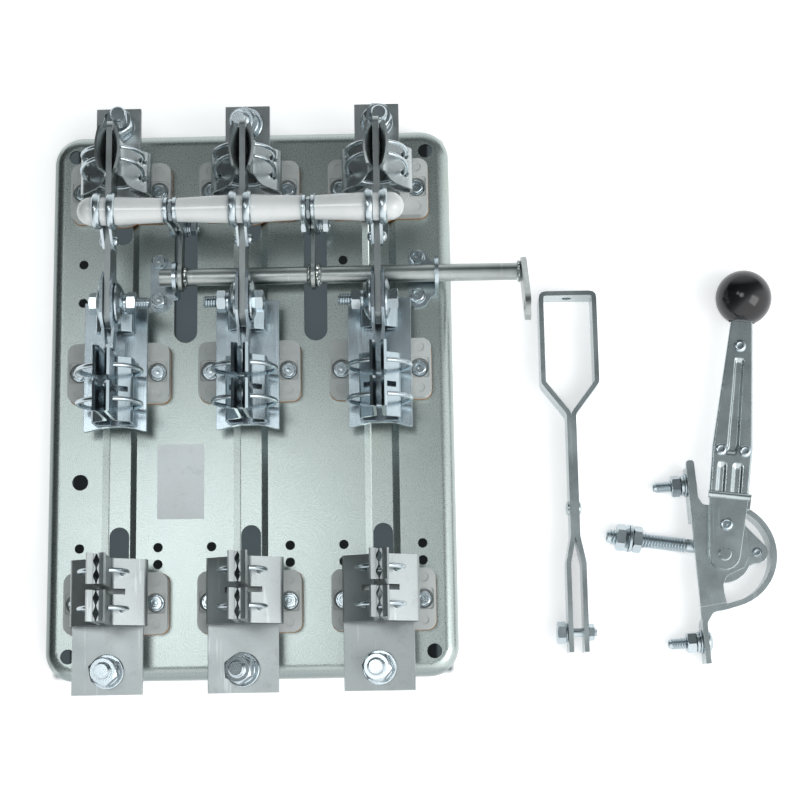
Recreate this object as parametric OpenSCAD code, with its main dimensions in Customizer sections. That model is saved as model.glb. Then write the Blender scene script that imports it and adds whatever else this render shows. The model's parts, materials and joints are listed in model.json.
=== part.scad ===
// Three-pole fuse switch disconnector on a drawn sheet plate, with its link rod and side lever drive.
// X runs across the poles, Y from the load terminals to the line terminals, Z out of the plate.
// Each pole carries a knife with its line jaw, a middle contact with pivot and fuse jaw, and a load
// contact with the second fuse jaw. The knives hang on one ceramic traverse that the shaft moves
// through two cranks and links. The link rod and the side drive lie loose on the plate's right.

/* [Poles] */
// distance between neighbouring poles
pole_pitch = 90; // [80:1:110]
// height of the supports, from the plate to the seat of the bars
seat_h = 18; // [16:1:22]
// thickness of the current bars
bar_t = 4; // [3:0.5:5]
// width of the line terminal bars
line_bar_w = 31; // [26:1:36]
// width of the middle contact bars
mid_bar_w = 43; // [40:1:48]
// width of the load terminal bars
load_bar_w = 47; // [40:1:50]
// sideways set of the load bars on their supports
load_bar_shift = -3; // [-4:0.5:4]
// sideways set of the load jaws on their supports
load_jaw_shift = -1.3; // [-2:0.1:2]
// how far the line bars reach over the plate's edge
line_over = 11; // [6:1:20]
// how far the load bars reach over the plate's edge
load_over = 10; // [6:1:20]
// terminal hole diameter
terminal_d = 13; // [11:0.5:14]

/* [Base plate] */
// plate width over the rim
plate_w = 280; // [270:1:340]
// plate length over the rim
plate_h = 384; // [376:1:440]
// sheet thickness
plate_t = 2; // [1.5:0.1:2.5]
// depth of the turned-back rim
plate_depth = 18; // [14:1:24]
// outer radius of the rolled edge
edge_r = 9.5; // [6:0.5:12]
// plan radius of the corners
corner_r = 20; // [14:1:28]
// distance between fixing holes, across
fix_x = 247; // [230:1:252]
// distance between fixing holes, along
fix_y = 351; // [335:1:356]
// fixing hole diameter
fix_d = 10; // [8:0.5:12]
// width of the pressed channel behind each pole
channel_w = 23.6; // [20:0.2:28]
// depth of the pressed channel
channel_depth = 4; // [3:0.5:6]
// width of the slots in the channel floor and beside the cranks
slot_w = 14.5; // [12:0.5:16]

/* [Supports] */
// flange length across the pole
support_w = 70; // [66:1:74]
// flange width along the pole
support_h = 41; // [36:1:44]
// diameter of the central boss
boss_d = 46; // [44:1:50]
// flange thickness
flange_t = 10; // [8:0.5:12]
// distance between the two fixing bolts
support_bolts = 53.5; // [52:0.5:56]
// centre of the line-side row
row_line_y = 146; // [142:1:150]
// centre of the middle row
row_mid_y = 17; // [12:1:22]
// centre of the load-side row
row_load_y = -141; // [-144:1:-138]

/* [Jaws] */
// thickness of the jaw sheets
jaw_t = 2; // [1.5:0.1:2.4]
// half width of the line jaw's foot
line_foot = 24.5; // [20:0.5:27]
// half width of the middle jaws' feet
mid_foot = 14; // [12:0.5:18]
// half width of the load jaw's foot
load_foot = 25.5; // [22:0.5:28]
// length of each fuse jaw along the pole
fuse_jaw_w = 43.6; // [40:1:50]
// height of the fuse jaws' lips above the plate
fuse_lip_z = 78; // [74:1:84]
// half width of the open lips of the load jaw
lip_open = 6.4; // [5:0.1:7]
// gap between the two fingers of a fuse jaw
finger_gap = 3.8; // [2:0.2:4]
// pitch of the waves in the load jaw's contact faces
wave_pitch = 9.6; // [8:0.2:11]
// length of the line jaw's mouth
mouth_l = 34; // [28:1:36]
// half opening of the line jaw's mouth
mouth_open = 7.8; // [6:0.2:9]
// wire diameter of the clip rings
wire_d = 3; // [2:0.2:3.4]

/* [Knives] */
// knife thickness
knife_t = 4; // [3:0.5:5]
// knife width
knife_w = 24; // [20:1:25]
// pivot position along the plate
pivot_y = 56.5; // [55:0.5:58]
// pivot height above the plate
pivot_z = 48; // [47:0.5:49]
// free end of the knife along the plate
knife_end_y = 182.4; // [178:0.4:184]
// pivot bolt diameter
pivot_d = 8; // [6:0.5:10]

/* [Traverse] */
// traverse axis along the plate
trav_y = 113.6; // [112:0.2:115]
// traverse axis height
trav_z = 72; // [71:0.5:74]
// largest diameter of the ceramic sleeves
ceramic_d = 19; // [16:0.5:20]
// smallest diameter of the ceramic sleeves
ceramic_min_d = 16; // [14:0.5:18]
// diameter of the steel rod inside the sleeves
tie_d = 8; // [6:0.5:9]
// width of the strap collars beside each knife
collar_w = 5.2; // [4:0.2:7]
// thickness of the strap collars
collar_t = 2.4; // [1.6:0.2:3]

/* [Shaft] */
// drive shaft diameter
shaft_d = 12; // [10:0.5:14]
// shaft axis along the plate
shaft_y = 81.5; // [80.5:0.5:82.5]
// shaft axis height
shaft_z = 18; // [17:0.5:19]
// shaft end beyond the plate's right edge
shaft_over = 47.6; // [36:1:60]
// distance from the shaft to the crank bolt
crank_r = 37; // [36:0.5:38]
// crank bolt height in the closed position
crank_z = 14; // [13:0.5:15]
// crank bolt diameter
crank_d = 6; // [5:0.5:7]
// play of the crank bolt in the crank's eye
crank_play = 1.7; // [1.6:0.1:2]
// angle of the drive arm, from the line side towards the front
arm_angle = 135; // [125:1:145]
// distance from the shaft to the hole in the drive arm
arm_r = 45; // [40:1:50]

/* [Link rod] */
// distance between the two cheeks of the rod's loop
loop_w = 40; // [34:1:48]
// length of the loop
loop_l = 65; // [55:1:80]
// overall length of the link rod
rod_l = 249; // [230:1:270]
// outer width of the fork
fork_w = 13.6; // [12:0.2:16]
// width of the straps
strap_w = 20; // [14:1:24]
// thickness of the straps
strap_t = 3.2; // [2.5:0.1:4]

/* [Side drive] */
// lever length from pivot to knob centre
lever_len = 179; // [160:1:200]
// knob diameter
knob_d = 38.5; // [34:0.5:40]
// outer radius of the guard band
guard_r = 35.8; // [34:0.2:38]
// thickness of the drive's sheets
drive_t = 3; // [2:0.5:3.5]
// diameter of the output rod
rod_d = 10; // [8:1:12]

/* [Hidden] */
$fn = 48;
eps = 0.01;
fit = 0.3;
run = 0.05;
poles = [-pole_pitch, 0, pole_pitch];
gasket_t = 1;
bar_z = seat_h + bar_t;
floor_z = -plate_depth;
cut_h = plate_t + 2;
line_end_y = plate_h / 2 + line_over;
load_end_y = -plate_h / 2 - load_over;
line_bolt_y = line_end_y - 13.5;
load_bolt_y = load_end_y + 15.2;
line_jaw_y = row_line_y + 14;
load_jaw_y = row_load_y + 5.5;
mid_jaw_y = row_mid_y - 17;
knife_gap = knife_t / 2 + fit;

// ---- helpers ----

function unit(v) = v / norm(v);
function left(v) = [-v[1], v[0]];
function dir_in(p, i) = i == 0 ? unit(p[1] - p[0]) : unit(p[i] - p[i - 1]);
function dir_out(p, i) = i == len(p) - 1 ? dir_in(p, i) : unit(p[i + 1] - p[i]);
// mitred normal of path p at point i
function side(p, i) = let(m = left(dir_in(p, i)) + left(dir_out(p, i))) 2 * m / (m * m);
// bend of radius r from a by way of b to c
function bend(a, b, c, r, n) = let(
    u = unit(a - b),
    v = unit(c - b),
    d = r / tan(acos(u * v) / 2))
    [for (k = [0:n]) let(s = k / n) (1 - s) * (1 - s) * (b + u * d) + 2 * s * (1 - s) * b
        + s * s * (b + v * d)];
function rounded(p, r, n = 4) = concat([p[0]],
    [for (i = [1:len(p) - 2]) each bend(p[i - 1], p[i], p[i + 1], r, n)], [p[len(p) - 1]]);
// closed outline of a strip t thick, to the left of path p
function strip(p, t) = concat(p, [for (i = [len(p) - 1:-1:0]) p[i] + t * side(p, i)]);

// sheet bent along path p in X and Z, w wide along Y
module bent(p, t, w) {
    rotate([90, 0, 0])
        linear_extrude(w, center = true)
            polygon(strip(p, t));
}

module pair() {
    children();
    mirror([1, 0, 0])
        children();
}

module at_poles() {
    for (x = poles)
        translate([x, 0, 0])
            children();
}

module x_cyl(d, x0, x1, y, z) {
    translate([x0, y, z])
        rotate([0, 90, 0])
            cylinder(h = x1 - x0, d = d);
}

// plate in the YZ plane from x0, t thick, drawn as 2D shapes in [y, z]
module yz_plate(x0, t) {
    translate([x0, 0, 0])
        rotate([90, 0, 90])
            linear_extrude(t)
                children();
}

module round_rect(w, h, r) {
    for (x = [-1, 1])
        for (y = [-1, 1])
            translate([x * (w / 2 - r), y * (h / 2 - r)])
                circle(r);
    square([w - 2 * r, h], center = true);
    square([w, h - 2 * r], center = true);
}

// flat bar with round ends from a to b
module bar_2d(a, b, w) {
    translate(a)
        circle(d = w);
    translate(b)
        circle(d = w);
    translate(a)
        rotate(atan2(b[1] - a[1], b[0] - a[0]))
            translate([0, -w / 2])
                square([norm(b - a), w]);
}

module hex(af, h) {
    cylinder(h = h, d = af / cos(30), $fn = 6);
}

// ---- base plate ----

flat_w = plate_w - 2 * edge_r;
flat_h = plate_h - 2 * edge_r;
plan_r = corner_r - edge_r;
channel_top = row_line_y + 12;
channel_bottom = row_load_y - 12;
crank_slot_x = [-45.3, 45.3];
crank_slot_w = slot_w + 1.7;

// section of the rolled rim: a quarter round, then straight back
module rim_section() {
    difference() {
        union() {
            intersection() {
                translate([0, -edge_r])
                    circle(edge_r);
                translate([0, -edge_r])
                    square([edge_r, edge_r]);
            }
            translate([0, -plate_depth])
                square([edge_r, plate_depth - edge_r]);
        }
        translate([0, -edge_r])
            circle(edge_r - plate_t);
        translate([-eps, -plate_depth - eps])
            square([edge_r - plate_t + eps, plate_depth - edge_r + eps]);
    }
}

// pressed channel: sloped walls, flat floor with two round-ended slots
module channel() {
    wall = 4.6;
    half = channel_w / 2 + 0.1;
    mid_y = (channel_top + channel_bottom) / 2;
    length = channel_top - channel_bottom;
    p = [[half, 0], [half - wall, -channel_depth], [wall - half, -channel_depth], [-half, 0]];
    difference() {
        translate([0, mid_y, 0])
            bent(p, plate_t, length);
        for (y = [row_line_y - 28, row_load_y + 46])
            translate([0, 0, -channel_depth - plate_t - 1])
                linear_extrude(cut_h)
                    bar_2d([0, y], [0, y < 0 ? y - 26 : y + 26], slot_w - 1);
    }
    for (y = [channel_top, channel_bottom - plate_t])
        translate([-half, y, -channel_depth - plate_t])
            cube([2 * half, plate_t, channel_depth + plate_t]);
}

module plate_holes() {
    for (x = [-1, 1])
        for (y = [-1, 1])
            translate([x * fix_x / 2, y * fix_y / 2])
                circle(d = fix_d);
    for (c = poles)
        for (x = [-1, 1])
            for (y = [-102.8, -114.3])
                translate([c + x * support_bolts / 2, y])
                    circle(d = 6.5);
    // fixing holes of the shaft brackets of the left-hand version
    for (x = [-117, 64.7])
        for (y = [-1, 1])
            translate([x, shaft_y + 1.4 + y * foot_bolts / 2])
                circle(d = 6.5);
    translate([-117, -57.3])
        circle(d = 11);
}

module base_plate() {
    color("lightslategray") {
        difference() {
            translate([0, 0, -plate_t])
                linear_extrude(plate_t)
                    round_rect(flat_w, flat_h, plan_r);
            at_poles()
                translate([-channel_w / 2, channel_bottom, -cut_h])
                    cube([channel_w, channel_top - channel_bottom, 2 * cut_h]);
            translate([0, 0, -cut_h])
                linear_extrude(2 * cut_h) {
                    plate_holes();
                    for (x = crank_slot_x)
                        bar_2d([x, shaft_y - crank_r + 3], [x, shaft_y + crank_r - 4], crank_slot_w);
                }
        }
        at_poles()
            channel();
        for (x = [-1, 1])
            for (y = [-1, 1])
                scale([x, y, 1])
                    translate([flat_w / 2 - plan_r, flat_h / 2 - plan_r, 0])
                        rotate_extrude(angle = 90)
                            translate([plan_r, 0])
                                rim_section();
        for (x = [-1, 1])
            scale([x, 1, 1])
                translate([flat_w / 2, flat_h / 2 - plan_r, 0])
                    rotate([90, 0, 0])
                        linear_extrude(flat_h - 2 * plan_r)
                            rim_section();
        for (y = [-1, 1])
            scale([1, y, 1])
                translate([plan_r - flat_w / 2, flat_h / 2, 0])
                    rotate([90, 0, 90])
                        linear_extrude(flat_w - 2 * plan_r)
                            rim_section();
    }
}

// ---- supports ----

module at_supports() {
    for (x = poles)
        for (y = [row_line_y, row_mid_y, row_load_y])
            translate([x, y, 0])
                children();
}

module gaskets() {
    rim = 0.6;
    color("peru")
        at_supports()
            linear_extrude(gasket_t)
                difference() {
                    union() {
                        round_rect(support_w + rim, support_h + rim, 6.5);
                        circle(d = boss_d + rim);
                    }
                    for (s = [-1, 1])
                        translate([s * support_bolts / 2, 0])
                            circle(d = 6.5);
                }
}

module supports() {
    pocket = [13.6, 14.5];
    mark = [27, 14.2];
    flange_z = gasket_t + flange_t;
    seat_z = flange_z - 5;
    color("gainsboro")
        at_supports()
            difference() {
                union() {
                    translate([0, 0, gasket_t])
                        linear_extrude(flange_t)
                            round_rect(support_w, support_h, 6.5);
                    translate([0, 0, gasket_t])
                        cylinder(h = seat_h - gasket_t, d = boss_d);
                }
                for (s = [-1, 1]) {
                    translate([s * support_bolts / 2, 0, flange_z - 1.2])
                        linear_extrude(flange_z)
                            round_rect(pocket[0], pocket[1], 2);
                    translate([s * support_bolts / 2, 0, seat_z])
                        cylinder(h = flange_z, d = 13.2);
                    translate([s * support_bolts / 2, 0, 0])
                        cylinder(h = flange_z, d = 6.5);
                    for (t = [-1, 1])
                        translate([s * mark[0], t * mark[1], flange_z - 0.5])
                            cylinder(h = 1, d = 6.4);
                }
            }
}

module label() {
    color("whitesmoke")
        translate([-64, -83.5, 0])
            cube([32, 51.5, 0.3]);
}

// ---- bars ----

module current_bar(w, y0, y1) {
    translate([-w / 2, y0, seat_h])
        cube([w, y1 - y0, bar_t]);
}

module line_bars() {
    color("silver")
        at_poles()
            difference() {
                current_bar(line_bar_w, row_line_y - 18, line_end_y);
                translate([0, line_bolt_y, 0])
                    cylinder(h = bar_z + 1, d = terminal_d);
            }
}

module mid_bars() {
    half = mid_bar_w / 2;
    y0 = mid_jaw_y - 26;
    y1 = pivot_y + 7;
    color("lightsteelblue")
        at_poles()
            translate([0, 0, seat_h])
                linear_extrude(bar_t)
                    polygon([[-half, y0], [-half + 2, y0], [-7, y0 + 3], [7, y0 + 3], [half - 2, y0],
                        [half, y0], [half, y1], [-half, y1]]);
}

module load_bars() {
    color("silver")
        at_poles()
            translate([load_bar_shift, 0, 0])
                difference() {
                    current_bar(load_bar_w, load_end_y, row_load_y + 23);
                    translate([0, load_bolt_y, 0])
                        cylinder(h = bar_z + 1, d = terminal_d);
                }
}

// ---- jaws ----

// path of a jaw sheet: foot on the bar, wall at the outside, shoulder, leaf with outer face at x
function jaw_path(foot, wall, shoulder, x, top) = [[3, bar_z], [foot, bar_z], [foot, bar_z + wall],
    [x, bar_z + shoulder], [x, top]];

module line_jaws() {
    leaf = knife_gap + jaw_t;
    flare_z = pivot_z + 3;
    flare_h = knife_w / 2 + 5;
    mouth_end = knife_gap + 1;
    sag = mouth_open - mouth_end;
    drop = mouth_open - knife_gap;
    r = (mouth_l * mouth_l / 4 + sag * sag) / (2 * sag);
    y0 = -20;
    color("silver")
        at_poles()
            translate([0, line_jaw_y, 0])
                difference() {
                    pair() {
                        intersection() {
                            bent(rounded(jaw_path(line_foot, 11, 20, leaf, flare_z + 1), 4.5), jaw_t, 42);
                            yz_plate(0, line_foot + 1)
                                polygon(rounded([[y0, 0], [y0, bar_z + 13], [y0 + 7, bar_z + 15],
                                    [y0 + 14, bar_z + 20], [y0 + 14, flare_z + 2], [14, flare_z + 2],
                                    [14, 0]], 2));
                        }
                        // barrel-shaped mouth: a conical shell that opens upwards
                        intersection() {
                            translate([mouth_open - r, 0, flare_z])
                                difference() {
                                    cylinder(h = flare_h, r1 = r + jaw_t - drop, r2 = r + jaw_t, $fn = 96);
                                    translate([0, 0, -eps])
                                        cylinder(h = flare_h + 2 * eps, r1 = r - drop, r2 = r, $fn = 96);
                                }
                            translate([knife_gap, -mouth_l / 2, 0])
                                cube([12, mouth_l, 90]);
                        }
                    }
                    line_ring(fit);
                }
}

// one half of a fuse jaw, shape = [half width of the foot, wall height, inner face, lip height,
// outer face of the lip]; wave is the height of the waves pressed into the contact faces
module fuse_leaf(shape, w, wave) {
    x = shape[2];
    neck_z = fuse_lip_z - shape[3];
    lip = [[x + jaw_t, neck_z - 4], [x + jaw_t, neck_z], [shape[4], fuse_lip_z]];
    step = wave_pitch / 8;
    finger = (w - finger_gap) / 2;
    n = floor(finger / step);
    bent(rounded(jaw_path(shape[0], shape[1], 20, x + jaw_t, neck_z), 3.6), jaw_t, w);
    bent(lip, jaw_t, w);
    if (wave > 0)
        for (s = [-1, 1])
            translate([0, s * (finger_gap + finger) / 2, fuse_lip_z - 22])
                linear_extrude(22 - shape[3])
                    polygon(strip([for (i = [0:n]) [x - wave * (1 + cos(45 * i)) / 2,
                        (i - n / 2) * step]], -jaw_t));
}

module fuse_jaw(shape, w, wave) {
    pair()
        difference() {
            fuse_leaf(shape, w, wave);
            translate([-1, -finger_gap / 2, bar_z + 5])
                cube([min(shape[0] - 2, 13.4), finger_gap, 80]);
        }
}

module mid_jaws() {
    color("lightsteelblue")
        at_poles()
            translate([0, mid_jaw_y, 0])
                difference() {
                    fuse_jaw([mid_foot, 13, 1.8, 3.2, 5.6], fuse_jaw_w, 0);
                    mid_ring(fit);
                }
}

module load_jaws() {
    color("silver")
        at_poles()
            translate([load_jaw_shift, load_jaw_y, 0])
                difference() {
                    fuse_jaw([load_foot, 9, 2, 1.8, lip_open], fuse_jaw_w, 1.6);
                    load_ring(fit);
                }
}

module pivot_jaws() {
    top = pivot_z + knife_w / 2 + 5;
    leaf = knife_gap + jaw_t;
    tongue = [[leaf, pivot_y - 15], [leaf, pivot_y - 20], [3.6, pivot_y - 29], [3.6, pivot_y - 32]];
    color("lightsteelblue")
        at_poles()
            pair()
                difference() {
                    union() {
                        intersection() {
                            translate([0, pivot_y, 0])
                                bent(rounded([[5, bar_z], [mid_foot - 1, bar_z],
                                    [mid_foot - 1, bar_z + 6.5], [leaf, bar_z + 11], [leaf, top]], 3),
                                    jaw_t, 60);
                            yz_plate(0, mid_foot + 1)
                                polygon([[pivot_y - 15, 0], [pivot_y - 15, bar_z + 12],
                                    [pivot_y - 18, bar_z + 20], [pivot_y - 18, top - 8],
                                    [pivot_y - 10, top], [pivot_y + 12, top], [pivot_y + 20, top - 9],
                                    [pivot_y + 19, top - 14], [pivot_y + 8, bar_z + 12],
                                    [pivot_y + 6.5, 0]]);
                        }
                        translate([0, 0, bar_z + 22])
                            linear_extrude(top - 10 - bar_z - 22)
                                polygon(strip(tongue, -jaw_t));
                    }
                    x_cyl(pivot_d + 2 * run, 0, 20, pivot_y, pivot_z);
                }
}

module pivot_bolts() {
    washer_x = knife_gap + jaw_t + fit;
    washer_d = 2 * (pivot_z - bar_z - 12);
    spring_t = 2;
    color("lightsteelblue")
        for (i = [0:2])
            translate([poles[i], pivot_y, pivot_z])
                mirror([i == 0 ? 1 : 0, 0, 0]) {
                    x_cyl(pivot_d, -27, washer_x + 6, 0, 0);
                    // dished washers, h their height: [side, h]
                    for (w = [[-1, 5], [1, 3.5]])
                        translate([w[0] * washer_x, 0, 0])
                            rotate([0, w[0] * 90, 0]) {
                                cylinder(h = 1.2, d = washer_d);
                                translate([0, 0, 1.2])
                                    cylinder(h = w[1] - 1.2, r1 = washer_d / 2, r2 = 8);
                            }
                    translate([washer_x + 3.5, 0, 0])
                        rotate([0, 90, 0])
                            hex(13, 5.3);
                    x_cyl(13, -washer_x - 5 - spring_t, -washer_x - 5, 0, 0);
                    translate([-washer_x - 5 - spring_t, 0, 0])
                        rotate([0, -90, 0])
                            hex(13, 6.5);
                }
}

// ---- clip rings ----

// ring around a jaw; its two ends stop beside leaves whose outer faces are at +-x
module ring(r, z, x, extra) {
    gap = 2 * asin((x + wire_d / 2 + fit) / r);
    translate([0, 0, z])
        rotate([90, 0, 0])
            rotate([0, 0, 90 + gap / 2])
                rotate_extrude(angle = 360 - gap)
                    translate([r, 0])
                        circle(d = wire_d + 2 * extra);
}

function ring_z(r) = bar_z + r + wire_d / 2 + fit;

module line_ring(extra = 0) {
    r = 20.5;
    for (y = [-8, 5])
        translate([0, y, 0])
                ring(r, ring_z(r), mouth_open + fit, extra);
}

module mid_ring(extra = 0) {
    r = 21;
    for (y = [-11.3, 11.3])
        translate([0, y, 0])
            ring(r, ring_z(r), 1.8 + jaw_t, extra);
}

module load_ring(extra = 0) {
    r = 15.5;
    for (y = [-12, 12])
        translate([0, y, 0])
            ring(r, bar_z + 28, 2 + jaw_t, extra);
}

module line_springs() {
    color("lightblue")
        at_poles()
            translate([0, line_jaw_y, 0])
                line_ring();
}

module mid_springs() {
    color("lightblue")
        at_poles()
            translate([0, mid_jaw_y, 0])
                mid_ring();
}

module load_springs() {
    color("lightblue")
        at_poles()
            translate([load_jaw_shift, load_jaw_y, 0])
                load_ring();
}

// ---- knives and traverse ----

tail_y = trav_y - 15.5;
tail_z = pivot_z + knife_w / 2 - 7;

module knives() {
    heel = 17;
    color("silver")
        at_poles()
            yz_plate(-knife_t / 2, knife_t)
                difference() {
                    union() {
                        translate([pivot_y, pivot_z - knife_w / 2])
                            square([knife_end_y - pivot_y - 6, knife_w]);
                        intersection() {
                            translate([pivot_y, pivot_z])
                                circle(heel);
                            translate([pivot_y - heel, pivot_z - knife_w / 2])
                                square([heel + 1, knife_w]);
                        }
                        translate([knife_end_y - 12, pivot_z])
                            rotate(90)
                                round_rect(knife_w, 24, 6);
                    }
                    translate([pivot_y, pivot_z])
                        circle(d = pivot_d + 2 * run);
                    translate([tail_y, tail_z])
                        circle(d = 4 + 2 * run);
                }
}

module tie_rod() {
    color("silver")
        x_cyl(tie_d, -pole_pitch - 14, pole_pitch + 14, trav_y, trav_z);
}

clamp_x = [-46.4, 45];
clamp_half = 4.6;

// ceramic sleeve along X: cone, cylinder over the knife, then a cone or a dome
module sleeve(x0, x1, dome) {
    a = ceramic_d / 2;
    b = ceramic_min_d / 2;
    translate([x0, 0, 0])
        rotate([0, 90, 0])
            cylinder(h = x1 - 10 - x0, r1 = b, r2 = a);
    translate([x1 - 10, 0, 0])
        rotate([0, 90, 0])
            cylinder(h = dome ? 19 : 20, r = a);
    if (dome)
        translate([x1 + 9, 0, 0])
            rotate([0, 90, 0])
                intersection() {
                    sphere(a);
                    cylinder(h = a, r = a);
                }
}

module ceramics() {
    color("white")
        translate([0, trav_y, trav_z])
            difference() {
                union() {
                    sleeve(clamp_x[1] + clamp_half, pole_pitch, true);
                    mirror([1, 0, 0]) {
                        sleeve(-clamp_x[0] + clamp_half, pole_pitch, true);
                        sleeve(-clamp_x[1] + clamp_half, 0, false);
                    }
                    sleeve(clamp_x[0] + clamp_half, 0, false);
                }
                x_cyl(tie_d + 2 * fit, -pole_pitch - 14 - fit, pole_pitch + 14 + fit, 0, 0);
            }
}

// strap collar: a ring round the sleeve and a tail riveted to the knife's cheek
module collars() {
    x0 = knife_t / 2;
    bore = ceramic_d + 2 * fit;
    color("silver")
        at_poles() {
            pair() {
                difference() {
                    union() {
                        yz_plate(x0 + 0.1, collar_w)
                            translate([trav_y, trav_z])
                                circle(d = bore + 2 * collar_t);
                        yz_plate(x0, 2)
                            polygon([[trav_y - 3, trav_z - 9], [trav_y - bore / 2 - 1, trav_z - 2],
                                [tail_y - 6, tail_z + 2], [tail_y - 5, tail_z - 5],
                                [tail_y + 2, tail_z - 6]]);
                    }
                    x_cyl(bore, 0, 20, trav_y, trav_z);
                }
                x_cyl(7.5, x0 + 2, x0 + 3.6, tail_y, tail_z);
            }
            x_cyl(4, -x0 - 2, x0 + 2, tail_y, tail_z);
        }
}

// ---- shaft ----

crank_y = shaft_y + sqrt(crank_r * crank_r - (shaft_z - crank_z) * (shaft_z - crank_z));
crank_t = 3;
shaft_end = plate_w / 2 + shaft_over;
ear_t = 2.6;
ear_x = [-50.3, 129.7];
foot_bolts = 27.6;

module shaft() {
    color("darkgray")
        x_cyl(shaft_d, ear_x[0] - 10.5, shaft_end, shaft_y, shaft_z);
}

module cranks() {
    tilt = atan2(crank_z - shaft_z, crank_y - shaft_y);
    color("gray")
        for (x = clamp_x)
            yz_plate(x - crank_t / 2, crank_t)
                translate([shaft_y, shaft_z])
                    rotate(tilt)
                        difference() {
                            union() {
                                translate([0, -7])
                                    square([crank_r, 14]);
                                translate([crank_r, 0])
                                    circle(9);
                                circle(10);
                            }
                            circle(d = shaft_d + 2 * run);
                            translate([crank_r, 0])
                                circle(d = crank_d + 2 * crank_play);
                        }
}

module drive_arm() {
    color("darkgray")
        yz_plate(shaft_end, 4)
            difference() {
                translate([shaft_y, shaft_z])
                    rotate(arm_angle)
                        bar_2d([0, 0], [arm_r, 0], 20);
                translate([shaft_y, shaft_z])
                    rotate(arm_angle)
                        translate([arm_r, 0])
                            circle(d = 8.5);
            }
}

// angle bracket: foot with two bolts, S-curved edges, round bearing ear
module shaft_brackets() {
    foot = [[0, -11.5], [-4, -13], [-8, -19], [-12, -20.5], [-16, -20.5], [-19.5, -17]];
    color("lightsteelblue")
        for (x = ear_x)
            difference() {
                union() {
                    yz_plate(x - ear_t / 2, ear_t) {
                        translate([shaft_y, shaft_z])
                            circle(d = 22);
                        translate([shaft_y - 11, ear_t / 2])
                            square([22, shaft_z - ear_t / 2]);
                    }
                    translate([x, shaft_y, 0])
                        linear_extrude(ear_t) {
                            translate([-eps, -11])
                                square([ear_t / 2 + eps, 22]);
                            polygon(concat(foot, [for (i = [len(foot) - 1:-1:0])
                                [foot[i][0], -foot[i][1]]]));
                        }
                }
                x_cyl(shaft_d + 2 * run, x - 10, x + 10, shaft_y, shaft_z);
                for (s = [-1, 1])
                    translate([x - 13.3, shaft_y + 1.4 + s * foot_bolts / 2, -1])
                        cylinder(h = ear_t + 2, d = 6.5);
            }
}

// ---- links ----

module link_straps() {
    strap = 2.2;
    inner = crank_t / 2 + fit;
    color("silver")
        for (x = clamp_x)
            for (s = [-1, 1])
                yz_plate(x + s * (inner + strap / 2) - strap / 2, strap)
                    difference() {
                        union() {
                            bar_2d([trav_y, trav_z], [crank_y, crank_z], 14);
                            translate([trav_y, trav_z])
                                circle(8.4);
                        }
                        translate([trav_y, trav_z])
                            circle(d = tie_d + 2 * run);
                        translate([crank_y, crank_z])
                            circle(d = crank_d + 2 * run);
                    }
}

module crank_bolts() {
    out = crank_t / 2 + fit + 2.2 + 0.1;
    color("lightsteelblue")
        for (x = clamp_x)
            translate([x, crank_y, crank_z]) {
                x_cyl(crank_d, -out - 3, out + 1, 0, 0);
                translate([out, 0, 0])
                    rotate([0, 90, 0])
                        hex(10, 4);
                translate([-out, 0, 0])
                    rotate([0, -90, 0])
                        hex(10, 3);
            }
}

// ---- link rod lying beside the plate ----

rod_x = 220.5;
rod_top = 71;
fork_y = rod_top - rod_l;
fork_half = fork_w / 2;
fork_bolt_y = fork_y + 13.5;

module link_rod() {
    half = loop_w / 2;
    neck = rod_top - loop_l;
    p = rounded([[-fork_half, fork_y], [-fork_half, fork_y + 60], [-strap_t, fork_y + 78],
        [-strap_t, neck - 22], [-half, neck], [-half, rod_top], [0, rod_top]], 5, 3);
    color("silver")
        translate([rod_x, 0, floor_z])
            difference() {
                union() {
                    linear_extrude(strap_w)
                        pair()
                            polygon(strip(p, -strap_t));
                    translate([-4.6, -80, strap_w / 2])
                        rotate([0, 90, 0])
                            cylinder(h = 9.2, d = 7.5);
                }
                translate([-20, fork_bolt_y, strap_w / 2])
                    rotate([0, 90, 0])
                        cylinder(h = 40, d = 6 + 2 * run);
                translate([0, rod_top + 5, strap_w / 2])
                    rotate([90, 0, 0])
                        cylinder(h = 16, d = 6.5);
            }
}

module link_rod_bolt() {
    color("lightsteelblue")
        translate([rod_x, fork_bolt_y, floor_z + strap_w / 2]) {
            x_cyl(6, -fork_half - 7.5, fork_half + 5.5, 0, 0);
            translate([-fork_half - fit, 0, 0])
                rotate([0, -90, 0])
                    hex(13, 5);
        }
}

// ---- side drive lying beside the plate ----

drive = [320.7, -114.1];
drive_turn = 3.2;
lever_turn = -7;
base_x = -19.5;
band_t = 3.6;
hub_r = 19;
pin_x = 22.8;
lug_d = 8.5;
lug_high = 50;
lug_low = -57;
// undersides of the lever, the cheek and the sector
top_z = (knob_d - drive_t) / 2 - plate_depth;
cheek_z = top_z - fit - drive_t;
sector_z = cheek_z - fit - drive_t;

module in_drive(turn = drive_turn) {
    translate([drive[0], drive[1], 0])
        rotate(turn)
            children();
}

lug_z = -plate_depth / 2 - 2;

// cheek with the pivot boss and the upper mounting lug
module side_plate() {
    color("gray")
        in_drive() {
            translate([0, 0, cheek_z])
                linear_extrude(drive_t)
                    difference() {
                        polygon(rounded([[base_x, -34], [base_x, 66], [base_x + 5.6, 66],
                            [base_x + 6, 40], [-11, 35], [-4, 34], [8, 34], [16.5, 22], [16.5, -3],
                            [12.5, -10], [5, -12.4], [0, -15], [-2.6, -20], [-2.6, -26],
                            [-1.6, -32.2]], 2.5));
                        circle(d = 8 + 2 * run);
                    }
            translate([base_x, 24, floor_z])
                difference() {
                    cube([drive_t, 37.5, cheek_z + drive_t / 2 - floor_z]);
                    translate([-1, lug_high - 24, lug_z - floor_z])
                        rotate([0, 90, 0])
                            cylinder(h = drive_t + 2, d = lug_d);
                }
        }
}

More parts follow.
